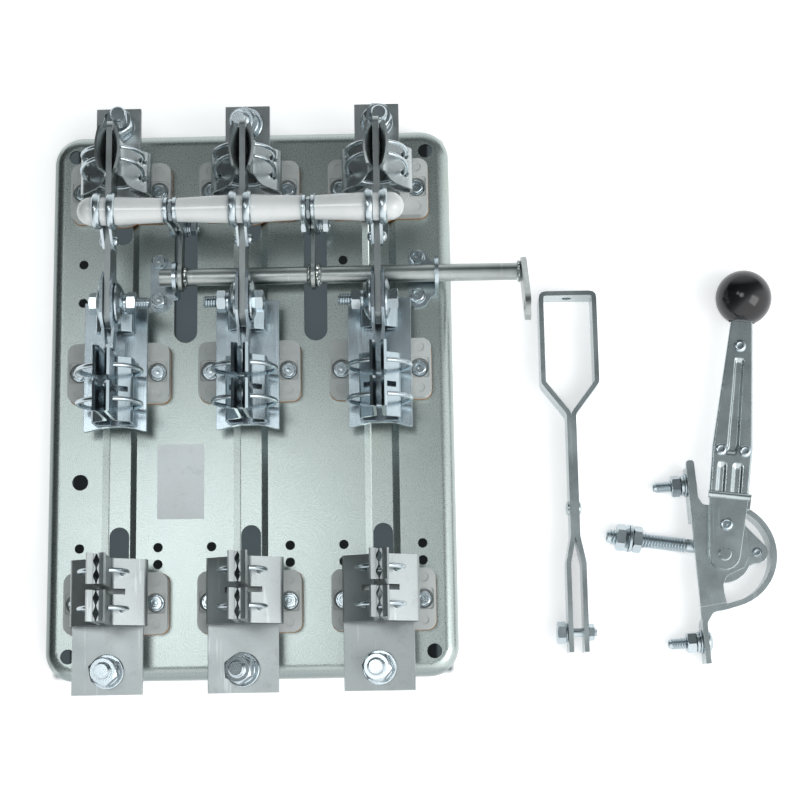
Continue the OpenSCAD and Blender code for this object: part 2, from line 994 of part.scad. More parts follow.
// band from the lower mounting lug through an S bend and round the sector
module guard_band() {
    foot = rounded([[-15.9, -72], [-15.9, -45], [-11, -38], [-2, -37], [6, -36.5]], 5, 5);
    arc = [for (a = [-74:8:62]) guard_r * [cos(a), sin(a)]];
    band_z = cheek_z + drive_t - floor_z;
    color("lightsteelblue")
        in_drive()
            translate([0, 0, floor_z])
                difference() {
                    union() {
                        linear_extrude(band_z)
                            polygon(strip(concat([for (i = [0:len(foot) - 2]) foot[i]], arc), band_t));
                        // web that joins the cheek to the band
                        translate([0, 0, cheek_z - floor_z])
                            linear_extrude(drive_t)
                                polygon([[base_x, -34 - fit], [-1.6, -32.2 - fit], [-1.5, -34], [-8, -36],
                                    [-14, -41], [base_x, -43]]);
                    }
                    translate([base_x - 2, lug_low, lug_z - floor_z])
                        rotate([0, 90, 0])
                            cylinder(h = band_t + 4, d = lug_d);
                }
}

// outline of a round-ended slot along Y from y0 to y1, r its half width
function slot_outline(y0, y1, r) = concat(
    [for (a = [0:15:180]) [r * cos(a), y1 + r * sin(a)]],
    [for (a = [180:15:360]) [r * cos(a), y0 + r * sin(a)]]);

// flat hand lever that narrows to the knob, with a pressed groove
module lever() {
    root = 13.2;
    waist = 13.7;
    tip = 7.6;
    color("silver")
        in_drive(lever_turn)
            translate([0, 0, top_z])
                difference() {
                    linear_extrude(drive_t)
                        polygon([[-root, 40], [root, 40], [waist, 73], [tip, lever_len - 16],
                            [-tip, lever_len - 16], [-waist, 73]]);
                    translate([0, 0, drive_t - 1])
                        linear_extrude(2)
                            polygon(slot_outline(66, 140, 3));
                }
}

module lever_clip() {
    w = 26.4;
    color("silver")
        in_drive(lever_turn)
            translate([0, 0, top_z]) {
                linear_extrude(drive_t)
                    difference() {
                        union() {
                            circle(10.5);
                            polygon([[-10.5, 0], [10.5, 0], [w / 2, 39.7], [-w / 2, 39.7]]);
                        }
                        circle(d = 8 + 2 * run);
                    }
            }
}

module knob() {
    flat = knob_d / 2 - 1.8;
    color("black")
        in_drive(lever_turn)
            translate([0, lever_len, top_z + drive_t / 2])
                difference() {
                    rotate([-90, 0, 0])
                        rotate_extrude()
                            intersection() {
                                circle(d = knob_d);
                                translate([0, -flat])
                                    square(knob_d);
                            }
                    translate([-9, -knob_d, -drive_t / 2 - fit])
                        cube([18, knob_d - 15.7, drive_t + 2 * fit]);
                }
}

// rocking plate under the cheek, with the pivot rivet and the pin of the output rod
module sector() {
    color("gray")
        in_drive() {
            translate([0, 0, sector_z])
                linear_extrude(drive_t) {
                    circle(hub_r);
                    polygon([[6, 26], [15, 21], [pin_x + 6, 4.5], [pin_x, -7], [10, -11], [-8, 14]]);
                    translate([pin_x, 0])
                        circle(7.5);
                }
            translate([0, 0, sector_z])
                cylinder(h = top_z + drive_t + 1.6 - sector_z, d = 8);
            translate([pin_x, 0, sector_z - rod_d - 1])
                cylinder(h = rod_d + 1 + eps, d = 6);
        }
}

// threaded rod welded to an eye on the sector's pin
module output_rod() {
    eye_w = 14;
    color("silver")
        in_drive()
            translate([pin_x, 0, sector_z - fit - rod_d / 2])
                difference() {
                    union() {
                        rotate([0, -90, -11])
                            cylinder(h = 102, d = rod_d);
                        translate([0, 0, -rod_d / 2])
                            cylinder(h = rod_d, d = eye_w);
                    }
                    translate([0, 0, -rod_d])
                        cylinder(h = 2 * rod_d, d = 6 + 2 * run);
                }
}

base_plate();
gaskets();
supports();
label();
line_bars();
line_jaws();
line_springs();
mid_bars();
pivot_jaws();
pivot_bolts();
mid_jaws();
mid_springs();
load_bars();
load_jaws();
load_springs();
shaft_brackets();
knives();
tie_rod();
ceramics();
collars();
shaft();
cranks();
drive_arm();
link_straps();
crank_bolts();
link_rod();
link_rod_bolt();
side_plate();
guard_band();
lever();
lever_clip();
knob();
sector();
output_rod();
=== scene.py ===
import json
import math

import bmesh
import bpy
from mathutils import Matrix, Vector, noise


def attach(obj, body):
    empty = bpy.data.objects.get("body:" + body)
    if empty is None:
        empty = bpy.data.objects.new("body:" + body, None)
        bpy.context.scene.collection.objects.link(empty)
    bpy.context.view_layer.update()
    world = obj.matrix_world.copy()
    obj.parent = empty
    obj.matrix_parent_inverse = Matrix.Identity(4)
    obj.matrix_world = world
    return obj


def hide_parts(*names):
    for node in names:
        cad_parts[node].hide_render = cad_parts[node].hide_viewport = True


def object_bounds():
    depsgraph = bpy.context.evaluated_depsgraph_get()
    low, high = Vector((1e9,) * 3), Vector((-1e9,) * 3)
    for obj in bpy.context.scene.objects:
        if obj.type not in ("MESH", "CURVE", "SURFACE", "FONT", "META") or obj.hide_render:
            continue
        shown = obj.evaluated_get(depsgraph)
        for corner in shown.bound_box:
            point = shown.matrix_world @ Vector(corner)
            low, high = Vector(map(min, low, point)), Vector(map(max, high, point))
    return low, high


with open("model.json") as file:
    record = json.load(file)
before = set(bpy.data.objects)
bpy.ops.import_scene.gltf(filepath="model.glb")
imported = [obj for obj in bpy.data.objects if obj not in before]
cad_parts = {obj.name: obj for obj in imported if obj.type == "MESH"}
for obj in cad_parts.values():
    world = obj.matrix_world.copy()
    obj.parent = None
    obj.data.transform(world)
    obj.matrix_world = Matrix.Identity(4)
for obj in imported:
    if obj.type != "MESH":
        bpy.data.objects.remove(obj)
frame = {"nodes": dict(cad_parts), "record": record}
size_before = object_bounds()
nodes = frame["nodes"]
MM = 0.001
POLES = (-90, 0, 90)


# ---- materials ----

def add_node(tree, kind, inputs=None, **values):
    """New node; an input is given as its value or as the socket that feeds it."""
    node = tree.nodes.new(kind)
    for key, value in values.items():
        setattr(node, key, value)
    for key, value in (inputs or {}).items():
        if isinstance(value, bpy.types.NodeSocket):
            tree.links.new(value, node.inputs[key])
        else:
            node.inputs[key].default_value = value
    return node


def new_material(name, inputs=None):
    mat = bpy.data.materials.new(name)
    mat.use_nodes = True
    tree = mat.node_tree
    tree.nodes.clear()
    out = tree.nodes.new("ShaderNodeOutputMaterial")
    shader = add_node(tree, "ShaderNodeBsdfPrincipled", inputs)
    tree.links.new(shader.outputs[0], out.inputs[0])
    return mat, tree, shader


def object_noise(tree, scale, detail=3.0, stretch=(1, 1, 1), rough=0.55):
    """Noise on object coordinates; scale is in cycles per metre."""
    coord = tree.nodes.new("ShaderNodeTexCoord")
    mapping = add_node(tree, "ShaderNodeMapping", {"Vector": coord.outputs["Object"], "Scale": stretch})
    return add_node(tree, "ShaderNodeTexNoise", {"Vector": mapping.outputs[0], "Scale": scale,
                                                 "Detail": detail, "Roughness": rough}).outputs[0]


def object_axes(tree):
    coord = tree.nodes.new("ShaderNodeTexCoord")
    return add_node(tree, "ShaderNodeSeparateXYZ", {0: coord.outputs["Object"]}).outputs


def ramp(tree, value, stops):
    node = tree.nodes.new("ShaderNodeValToRGB")
    elements = node.color_ramp.elements
    while len(elements) < len(stops):
        elements.new(0.5)
    for element, (place, colour) in zip(elements, stops):
        element.position = place
        element.color = (*colour, 1) if len(colour) == 3 else colour
    tree.links.new(value, node.inputs[0])
    return node.outputs[0]


def map_range(tree, value, low, high, to_low=0.0, to_high=1.0):
    return add_node(tree, "ShaderNodeMapRange", {"Value": value, "From Min": low, "From Max": high,
                                                 "To Min": to_low, "To Max": to_high}).outputs[0]


def spread(tree, value, low, high):
    return map_range(tree, value, 0.3, 0.7, low, high)


def calc(tree, kind, a, b=0.5, clamp=False):
    return add_node(tree, "ShaderNodeMath", {0: a, 1: b}, operation=kind, use_clamp=clamp).outputs[0]


def blend_colours(tree, factor, a, b, mode="MIX"):
    a, b = ((*c, 1) if isinstance(c, tuple) else c for c in (a, b))
    return add_node(tree, "ShaderNodeMix", {0: factor, 6: a, 7: b}, data_type="RGBA",
                    blend_type=mode).outputs[2]


def add_bump(tree, shader, value, strength, distance):
    bump = add_node(tree, "ShaderNodeBump", {"Height": value, "Strength": strength,
                                             "Distance": distance})
    tree.links.new(bump.outputs[0], shader.inputs["Normal"])


def coat(tree, shader, colour, rough):
    tree.links.new(colour, shader.inputs["Base Color"])
    tree.links.new(rough, shader.inputs["Roughness"])


def shade(colour, k):
    return tuple(min(1, c * k) for c in colour)


def metal(name, colour, rough, patch=14, grain=700, stretch=(1, 1, 1), bump=0.06, vary=0.1,
          scratch=0.0):
    """Plated or bare metal: cloudy tone, fine grain in colour, roughness and relief."""
    mat, tree, shader = new_material(name, {"Metallic": 1})
    cloud = object_noise(tree, patch, 3)
    fine = object_noise(tree, grain, 2, stretch)
    tone = ramp(tree, cloud, [(0.3, shade(colour, 1 - vary)), (0.7, shade(colour, 1 + vary))])
    speck = ramp(tree, fine, [(0.3, (0.93, 0.93, 0.94)), (0.7, (1, 1, 1))])
    mixed = blend_colours(tree, 1.0, tone, speck, "MULTIPLY")
    if scratch:
        streak = object_noise(tree, 240, 2, (1, 0.07, 0.3))
        shown = ramp(tree, streak, [(0.66, (0, 0, 0)), (0.7, (scratch,) * 3)])
        mixed = blend_colours(tree, shown, mixed, shade(colour, 1.5))
        smudge = object_noise(tree, 110, 5, (1, 1, 1), 0.7)
        shown = ramp(tree, smudge, [(0.56, (0, 0, 0)), (0.7, (scratch * 0.7,) * 3)])
        mixed = blend_colours(tree, shown, mixed, shade(colour, 0.55))
    coat(tree, shader, mixed, spread(tree, cloud, rough * 0.85, rough * 1.15))
    add_bump(tree, shader, fine, bump, 0.0003)
    return mat


def zinc_sheet():
    """Passivated zinc plating on the drawn plate: pale green grey, cloudy, with fine sparkle; its left
    and bottom rims are darkened by painted shade.
    """
    mat, tree, shader = new_material("zinc_sheet", {"Metallic": 1})
    cloud = object_noise(tree, 7, 4)
    fine = object_noise(tree, 1400, 2)
    stain = object_noise(tree, 16, 6, (1, 0.6, 1), 0.65)
    tone = ramp(tree, cloud, [(0.3, (0.43, 0.485, 0.47)), (0.55, (0.475, 0.535, 0.52)),
                              (0.75, (0.515, 0.575, 0.555))])
    speck = ramp(tree, fine, [(0.3, (0.8, 0.81, 0.8)), (0.65, (1, 1, 1))])
    worn = ramp(tree, stain, [(0.6, (0, 0, 0)), (0.74, (0.3, 0.3, 0.3))])
    tone = blend_colours(tree, worn, tone, (0.46, 0.47, 0.37))
    # Painted shade: the outer 2 mm of the plate's left and bottom rims are darkened, as where those rims
    # face away from the light.
    axes = object_axes(tree)
    for axis, inner, outer in (("X", -0.1335, -0.1355), ("Y", -0.1855, -0.1875)):
        edge = map_range(tree, axes[axis], inner, outer, 0, 0.62)
        tone = blend_colours(tree, edge, tone, (0.2, 0.235, 0.24))
    coat(tree, shader, blend_colours(tree, 1.0, tone, speck, "MULTIPLY"), spread(tree, fine, 0.25, 0.35))
    add_bump(tree, shader, fine, 0.1, 0.0003)
    return mat


def moulding():
    """Grey moulding compound with faint flow clouds and a matt skin."""
    mat, tree, shader = new_material("moulding")
    cloud = object_noise(tree, 60, 4)
    fine = object_noise(tree, 1800, 2)
    tone = ramp(tree, cloud, [(0.3, (0.47, 0.50, 0.49)), (0.7, (0.55, 0.575, 0.565))])
    speck = ramp(tree, fine, [(0.35, (0.93, 0.93, 0.93)), (0.6, (1, 1, 1))])
    coat(tree, shader, blend_colours(tree, 1.0, tone, speck, "MULTIPLY"), spread(tree, cloud, 0.42, 0.52))
    add_bump(tree, shader, fine, 0.12, 0.0002)
    return mat


def pressed_board():
    mat, tree, shader = new_material("pressed_board")
    fibre = object_noise(tree, 500, 5)
    tone = ramp(tree, fibre, [(0.3, (0.28, 0.12, 0.035)), (0.7, (0.45, 0.22, 0.07))])
    coat(tree, shader, tone, spread(tree, fibre, 0.7, 0.85))
    add_bump(tree, shader, fibre, 0.4, 0.0003)
    return mat


def sticker_paper():
    mat, tree, shader = new_material("sticker_paper")
    fibre = object_noise(tree, 900, 4)
    tone = ramp(tree, fibre, [(0.3, (0.62, 0.675, 0.685)), (0.7, (0.69, 0.735, 0.745))])
    scuff = ramp(tree, object_noise(tree, 130, 6), [(0.58, (0, 0, 0)), (0.64, (0.4, 0.4, 0.4))])
    stain = ramp(tree, object_noise(tree, 26, 3), [(0.5, (0, 0, 0)), (0.75, (0.35, 0.35, 0.35))])
    tone = blend_colours(tree, scuff, tone, (0.5, 0.55, 0.56))
    tone = blend_colours(tree, stain, tone, (0.52, 0.54, 0.5))
    coat(tree, shader, tone, spread(tree, fibre, 0.3, 0.5))
    add_bump(tree, shader, object_noise(tree, 55, 2), 0.25, 0.002)
    return mat


def glazed_porcelain():
    mat, tree, shader = new_material("glazed_porcelain", {"Coat Weight": 0.6, "Coat Roughness": 0.08})
    cloud = object_noise(tree, 45, 3)
    speck = object_noise(tree, 420, 2)
    tone = ramp(tree, cloud, [(0.3, (0.61, 0.635, 0.63)), (0.7, (0.68, 0.70, 0.695))])
    dirt = ramp(tree, speck, [(0.68, (0, 0, 0)), (0.76, (0.35, 0.35, 0.35))])
    coat(tree, shader, blend_colours(tree, dirt, tone, (0.45, 0.43, 0.38)),
         spread(tree, cloud, 0.14, 0.26))
    add_bump(tree, shader, cloud, 0.15, 0.0006)
    return mat


def black_knob():
    mat, tree, shader = new_material("black_knob", {"Coat Weight": 0.12, "Coat Roughness": 0.05})
    cloud = object_noise(tree, 90, 3)
    tone = ramp(tree, cloud, [(0.3, (0.004, 0.004, 0.005)), (0.7, (0.009, 0.009, 0.011))])
    coat(tree, shader, tone, spread(tree, cloud, 0.1, 0.2))
    add_bump(tree, shader, cloud, 0.05, 0.001)
    return mat


finishes = {
    "zinc_sheet": zinc_sheet(),
    "moulding": moulding(),
    "gasket": pressed_board(),
    "label": sticker_paper(),
    "bar_metal": metal("satin_bar", (0.41, 0.442, 0.442), 0.36, 30, 900, (1, 1, 1), 0.02, 0.07, 0.4),
    "jaw_metal": metal("satin_jaw", (0.52, 0.56, 0.565), 0.28, 40, 900, (1, 1, 1), 0.012, 0.07, 0.25),
    "zinc_bright": metal("bright_zinc", (0.52, 0.59, 0.62), 0.24, 60, 1200, (1, 1, 1), 0.003, 0.06),
    "zinc_blue": metal("blue_zinc", (0.49, 0.57, 0.61), 0.22, 30, 800, (1, 0.15, 1), 0.02, 0.1, 0.3),
    "shaft_steel": metal("drawn_steel", (0.40, 0.43, 0.42), 0.33, 30, 700, (0.1, 1, 1), 0.03, 0.18, 0.3),
    "porcelain": glazed_porcelain(),
    "knob": black_knob(),
    "drive_zinc": metal("drive_zinc", (0.50, 0.56, 0.57), 0.27, 40, 900, (1, 1, 1), 0.012, 0.1, 0.25),
}
BRIGHT = finishes["zinc_bright"]
WELD = metal("weld_metal", (0.62, 0.65, 0.63), 0.2, 160, 900, (1, 1, 1), 0.06, 0.25)


def dress(obj, mat):
    obj.data.materials.clear()
    obj.data.materials.append(mat)


for part in frame["record"]["subparts"]:
    if part["node"] in nodes:
        dress(nodes[part["node"]], finishes[part["material_slot"]])


# ---- mesh tools ----

def finish_mesh(obj, angle):
    for poly in obj.data.polygons:
        poly.use_smooth = True
    obj.data.set_sharp_from_angle(angle=math.radians(angle))


def link_object(name, mesh):
    obj = bpy.data.objects.new(name, mesh)
    bpy.context.scene.collection.objects.link(obj)
    return obj


def mesh_from(bm, name):
    """Mesh in metres from one drawn in millimetres."""
    bmesh.ops.scale(bm, vec=(MM, MM, MM), verts=bm.verts)
    mesh = bpy.data.meshes.new(name)
    bm.to_mesh(mesh)
    bm.free()
    return mesh


def settle_in(obj, mat, body, angle):
    dress(obj, mat)
    finish_mesh(obj, angle)
    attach(obj, body)
    return obj


def object_from(bm, name, mat, body="frame", angle=32):
    """Turns a mesh in millimetres into a finished object on its body."""
    bmesh.ops.recalc_face_normals(bm, faces=bm.faces)
    return settle_in(link_object(name, mesh_from(bm, name)), mat, body, angle)


def baked(obj):
    """Leaves the mesh that the object's modifiers give."""
    graph = bpy.context.evaluated_depsgraph_get()
    mesh = bpy.data.meshes.new_from_object(obj.evaluated_get(graph))
    obj.modifiers.clear()
    mesh.name = obj.name
    obj.data = mesh


def modify(obj, kind, **values):
    """Applies one modifier for good."""
    mod = obj.modifiers.new(kind.lower(), kind)
    for key, value in values.items():
        setattr(mod, key, value)
    baked(obj)


def open_solid(node):
    """Copy of a solid's mesh with its flat faces joined, and open for edits."""
    mesh = nodes[node].data.copy()
    bm = bmesh.new()
    bm.from_mesh(mesh)
    bmesh.ops.remove_doubles(bm, verts=bm.verts, dist=2e-6)
    bmesh.ops.dissolve_limit(bm, angle_limit=math.radians(0.5), verts=bm.verts, edges=bm.edges)
    return mesh, bm


def eased(node, width, body):
    """Copy of a solid with its sharp edges broken, shown in its place."""
    mesh, bm = open_solid(node)
    bm.to_mesh(mesh)
    bm.free()
    obj = link_object(node + "_eased", mesh)
    modify(obj, "BEVEL", width=width * MM, segments=2, limit_method="ANGLE",
           angle_limit=math.radians(40), use_clamp_overlap=True)
    finish_mesh(obj, 30)
    modify(obj, "WEIGHTED_NORMAL", keep_sharp=True, weight=100)
    dress(obj, nodes[node].data.materials[0])
    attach(obj, body)
    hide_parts(node)


CHANNEL_HALF = 11.9
CHANNEL_WALL = 4.6
CHANNEL_ENDS = (-153.5, 158.5)
CHANNEL_LIFT = 1.8


def off_pole(x):
    return min(abs(x - pole) for pole in POLES)


def channel_share(x, y):
    """How far a place lies down the wall of the nearest channel: 0 on the plate, 1 on the floor."""
    if not CHANNEL_ENDS[0] < y < CHANNEL_ENDS[1]:
        return 0
    return max(0, min(1, (CHANNEL_HALF - off_pole(x)) / CHANNEL_WALL))


def add_plate():
    """The drawn plate with the channels' walls at the easy slope of a pressing, edges rounded."""
    mesh, bm = open_solid("base_plate")
    for v in bm.verts:
        v.co.z += CHANNEL_LIFT * MM * channel_share(v.co.x / MM, v.co.y / MM)
    weight = bm.edges.layers.float.new("bevel_weight_edge")
    foot = CHANNEL_HALF - CHANNEL_WALL
    for edge in bm.edges:
        a, b = (v.co / MM for v in edge.verts)
        if (abs(a.x - b.x) < 0.05 and abs(a.y - b.y) > 6 and abs(off_pole(a.x) - foot) < 0.3
                and a.z > -3):
            edge[weight] = 1
    bm.to_mesh(mesh)
    bm.free()
    obj = link_object("drawn_plate", mesh)
    modify(obj, "BEVEL", width=1.6 * MM, segments=4, limit_method="WEIGHT", use_clamp_overlap=True)
    finish_mesh(obj, 30)
    mesh = obj.data
    sharp = mesh.attributes.get("sharp_edge") or mesh.attributes.new("sharp_edge", "BOOLEAN", "EDGE")
    for edge in mesh.edges:
        a, b = (mesh.vertices[k].co / MM for k in edge.vertices)
        if abs(a.x - b.x) < 0.2 and abs(a.y - b.y) > 2 and abs(off_pole(a.x) - 11.85) < 0.2:
            sharp.data[edge.index].value = True
    modify(obj, "WEIGHTED_NORMAL", keep_sharp=True, weight=100)
    dress(obj, finishes["zinc_sheet"])
    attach(obj, "frame")
    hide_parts("base_plate")


# ---- turned, threaded and repeated parts ----

def lathe(bm, profile, at=(0, 0, 0), count=32, turn=None):
    """Revolves a profile of (radius, height) pairs in millimetres round Z."""
    rings = []
    for radius, height in profile:
        if radius == 0:
            rings.append([bm.verts.new((0, 0, height))])
            continue
        rings.append([bm.verts.new((radius * math.cos(2 * math.pi * k / count),
                                    radius * math.sin(2 * math.pi * k / count), height))
                      for k in range(count)])
    for low, high in zip(rings, rings[1:]):
        for k in range(count):
            n = (k + 1) % count
            if len(low) == 1 and len(high) == 1:
                break
            if len(low) == 1:
                bm.faces.new((low[0], high[n], high[k]))
            elif len(high) == 1:
                bm.faces.new((low[k], low[n], high[0]))
            else:
                bm.faces.new((low[k], low[n], high[n], high[k]))
    settle(bm, rings, at, turn)


def settle(bm, rings, at, turn):
    verts = [v for ring in rings for v in ring]
    if turn is not None:
        bmesh.ops.transform(bm, matrix=turn.to_4x4(), verts=verts)
    bmesh.ops.translate(bm, vec=at, verts=verts)


def ring_of(outer, inner, low, high, soft=0.3):
    """Closed profile of a washer with broken edges."""
    return [(inner, low), (outer - soft, low), (outer, low + soft), (outer, high - soft),
            (outer - soft, high), (inner, high), (inner, low)]


def hex_block(bm, across, low, high, hole=0, dish=0, both=False, at=(0, 0, 0), turn=None):
    """Hexagon head or nut whose corners are turned off by a cone, as on real fasteners."""
    count = 48
    inscribed = across / 2
    flat = inscribed * 0.94

    def corner(k):
        angle = 2 * math.pi * k / count
        return inscribed / math.cos((angle + math.pi / 6) % (math.pi / 3) - math.pi / 6)

    def ring(radii, heights):
        return [bm.verts.new((radii[k] * math.cos(2 * math.pi * k / count),
                              radii[k] * math.sin(2 * math.pi * k / count), heights[k]))
                for k in range(count)]

    edge = [corner(k) for k in range(count)]
    fall = [(r - flat) * 0.55 for r in edge]
    rings = []
    if both:
        rings.append(ring([flat] * count, [low] * count))
        rings.append(ring(edge, [low + f for f in fall]))
    else:
        rings.append(ring(edge, [low] * count))
    rings.append(ring(edge, [high - f for f in fall]))
    rings.append(ring([flat] * count, [high] * count))
    inner = hole if hole else flat * 0.72
    rings.append(ring([inner] * count, [high] * count))
    if not hole:
        rings.append(ring([inner * 0.86] * count, [high - dish] * count))
        rings.append([bm.verts.new((0, 0, high - dish))])
    closing = list(rings)
    if hole:
        closing.append(ring([hole] * count, [low] * count))
        closing.append(rings[0])
    for a, b in zip(closing, closing[1:]):
        for k in range(count):
            n = (k + 1) % count
            if len(b) == 1:
                bm.faces.new((a[k], a[n], b[0]))
            else:
                bm.faces.new((a[k], a[n], b[n], b[k]))
    if not hole:
        bm.faces.new(list(reversed(rings[0])))
    settle(bm, rings + ([closing[-2]] if hole else []), at, turn)


def new_tree(name, *inputs):
    """Geometry node tree with named inputs of (name, type, default), and its two end nodes."""
    tree = bpy.data.node_groups.new(name, "GeometryNodeTree")
    for label, kind, value in inputs:
        socket = tree.interface.new_socket(name=label, in_out="INPUT", socket_type="NodeSocket" + kind)
        if value is not None:
            socket.default_value = value
    tree.interface.new_socket(name="Geometry", in_out="OUTPUT", socket_type="NodeSocketGeometry")
    return tree, tree.nodes.new("NodeGroupInput").outputs, tree.nodes.new("NodeGroupOutput")


def end_tree(tree, geometry, material, result):
    real = add_node(tree, "GeometryNodeRealizeInstances", {0: geometry})
    finish = add_node(tree, "GeometryNodeSetMaterial", {"Geometry": real.outputs[0],
                                                        "Material": material})
    tree.links.new(finish.outputs[0], result.inputs[0])
    return tree


def thread_tree():
    """Screw thread: a core with a ridge wound round it, lengths in millimetres."""
    tree, given, result = new_tree("screw_thread", ("Radius", "Float", 3.0), ("Pitch", "Float", 1.0),
                                   ("Length", "Float", 10.0), ("Finish", "Material", None))
    radius, pitch, length = (given[k] for k in ("Radius", "Pitch", "Length"))
    depth = calc(tree, "MULTIPLY", pitch, 0.36)
    ridge = calc(tree, "SUBTRACT", radius, depth)
    helix = add_node(tree, "GeometryNodeCurveSpiral",
                     {"Resolution": 20, "Rotations": calc(tree, "DIVIDE", length, pitch),
                      "Start Radius": ridge, "End Radius": ridge, "Height": length})
    upright = add_node(tree, "GeometryNodeSetCurveNormal", {"Curve": helix.outputs["Curve"]})
    try:
        upright.mode = "Z_UP"
    except AttributeError:
        upright.inputs["Mode"].default_value = "Z Up"
    profile = add_node(tree, "GeometryNodeCurvePrimitiveCircle", {"Resolution": 4, "Radius": depth})
    sweep = add_node(tree, "GeometryNodeCurveToMesh",
                     {"Curve": upright.outputs["Curve"], "Profile Curve": profile.outputs["Curve"],
                      "Fill Caps": True})
    core_radius = calc(tree, "SUBTRACT", radius, calc(tree, "MULTIPLY", pitch, 0.5))
    core = add_node(tree, "GeometryNodeMeshCylinder",
                    {"Vertices": 24, "Radius": core_radius, "Depth": calc(tree, "ADD", length, 0.6)})
    middle = add_node(tree, "ShaderNodeCombineXYZ", {"Z": calc(tree, "MULTIPLY", length, 0.5)})
    lift = add_node(tree, "GeometryNodeTransform", {"Geometry": core.outputs["Mesh"],
                                                    "Translation": middle.outputs[0]})
    join = add_node(tree, "GeometryNodeJoinGeometry", {0: sweep.outputs["Mesh"]})
    tree.links.new(lift.outputs["Geometry"], join.inputs[0])
    return end_tree(tree, join.outputs[0], given["Finish"], result)


def fastener_tree():
    """Sets a copy of a piece on every point, along the point's axis, turned by its spin."""
    tree, given, result = new_tree("fasteners_on_points", ("Geometry", "Geometry", None),
                                   ("Piece", "Object", None), ("Scale", "Float", 1.0),
                                   ("Finish", "Material", None))
    piece = add_node(tree, "GeometryNodeObjectInfo", {"Object": given["Piece"]})
    axis, spin = (add_node(tree, "GeometryNodeInputNamedAttribute", {"Name": name}, data_type=kind)
                  for name, kind in (("axis", "FLOAT_VECTOR"), ("spin", "FLOAT")))
    align = add_node(tree, "FunctionNodeAlignRotationToVector", {"Vector": axis.outputs[0]}, axis="Z")
    put = add_node(tree, "GeometryNodeInstanceOnPoints",
                   {"Points": given["Geometry"], "Instance": piece.outputs["Geometry"],
                    "Rotation": align.outputs[0], "Scale": given["Scale"]})
    turn = add_node(tree, "ShaderNodeCombineXYZ", {"Z": spin.outputs[0]})
    rotate = add_node(tree, "GeometryNodeRotateInstances", {"Instances": put.outputs[0],
                                                            "Rotation": turn.outputs[0]})
    return end_tree(tree, rotate.outputs[0], given["Finish"], result)


def run_tree(obj, tree, **values):
    """Runs a node tree on an object and leaves the plain mesh that it gives."""
    mod = obj.modifiers.new("nodes", "NODES")
    mod.node_group = tree
    for item in tree.interface.items_tree:
        if item.in_out == "INPUT" and item.name in values:
            mod[item.identifier] = values[item.name]
    obj.update_tag()
    graph = bpy.context.evaluated_depsgraph_get()
    mesh = bpy.data.meshes.new_from_object(obj.evaluated_get(graph))
    obj.modifiers.clear()
    return mesh


THREAD = thread_tree()
ON_POINTS = fastener_tree()
threads = {}


def thread_mesh(radius, pitch, length):
    key = (radius, pitch, length)
    if key not in threads:
        seed = link_object("thread_seed", bpy.data.meshes.new("thread_seed"))
        threads[key] = run_tree(seed, THREAD, Radius=float(radius), Pitch=float(pitch),
                                Length=float(length), Finish=BRIGHT)
        bpy.data.objects.remove(seed)
    return threads[key]


def add_thread(bm, radius, pitch, length, at=(0, 0, 0), turn=None):
    before = set(bm.verts)
    bm.from_mesh(thread_mesh(radius, pitch, length))
    fresh = [v for v in bm.verts if v not in before]
    if turn is not None:
        bmesh.ops.transform(bm, matrix=turn.to_4x4(), verts=fresh)
    bmesh.ops.translate(bm, vec=at, verts=fresh)


def set_on_points(name, build, places, mat, body="frame"):
    """One mesh with a copy of a fastener at each (point, axis, spin), in millimetres."""
    bm = bmesh.new()
    build(bm)
    bmesh.ops.recalc_face_normals(bm, faces=bm.faces)
    piece = link_object(name + "_piece", mesh_from(bm, name + "_piece"))
    points = bpy.data.meshes.new(name)
    points.from_pydata([Vector(p) * MM for p, _, _ in places], [], [])
    points.attributes.new("axis", "FLOAT_VECTOR", "POINT")
    points.attributes.new("spin", "FLOAT", "POINT")
    for k, (_, direction, angle) in enumerate(places):
        points.attributes["axis"].data[k].vector = direction
        points.attributes["spin"].data[k].value = math.radians(angle)
    obj = link_object(name, points)
    obj.data = run_tree(obj, ON_POINTS, Piece=piece, Scale=1.0, Finish=mat)
    obj.data.name = name
    bpy.data.objects.remove(piece)
    return settle_in(obj, mat, body, 28)


UP = (0, 0, 1)
SUPPORT_ROWS = (146, 17, -141)
SUPPORT_BOLT = 26.75
SHAFT = (81.5, 18)
FORK = Vector((220.5, -164.5, -8))
STRAP_RIVET = (220.5, -80, -8)


# ---- fasteners ----

def plate_screw(bm):
    lathe(bm, ring_of(5.6, 3.1, 0, 1))
    hex_block(bm, 8.4, 1, 5, dish=1.2)
    lathe(bm, [(0, 3.7), (1.7, 3.7), (1.4, 4.2), (0, 4.3)], count=24)


def terminal_stack(tip, nut_at=5.2):
    """Flat washer, spring washer, nut and the thread that stands out of it."""
    def build(bm):
        lathe(bm, ring_of(11.4, 6.4, 0, 2, 0.5), count=48)
        lathe(bm, ring_of(9.3, 6.3, 2, 5, 0.6), count=48)
        hex_block(bm, 17.4, nut_at, nut_at + 9.4, hole=5.6, both=True)
        add_thread(bm, 6, 1.75, tip - 6, (0, 0, 4))
        lathe(bm, [(5.3, tip - 2.3), (5.2, tip - 1), (4.4, tip), (0, tip)], count=32)
    return build


def add_plate_screws():
    places = []
    spins = (10, 34, 52, 21, 5, 44, 13, 28, 39)
    for row, y in enumerate(SUPPORT_ROWS):
        for k, x in enumerate(POLES):
            for side in (-1, 1):
                places.append(((x + side * SUPPORT_BOLT, y, 6), UP, spins[(row * 3 + k) % 9] + 17 * side))
    set_on_points("support_screws", plate_screw, places, BRIGHT)
    feet = [((x - 13.3, 82.9 + s * 13.8, 2.6), UP, 12 + 20 * s) for x in (-50.3, 129.7)
            for s in (-1, 1)]
    set_on_points("bracket_screws", plate_screw, feet, BRIGHT)


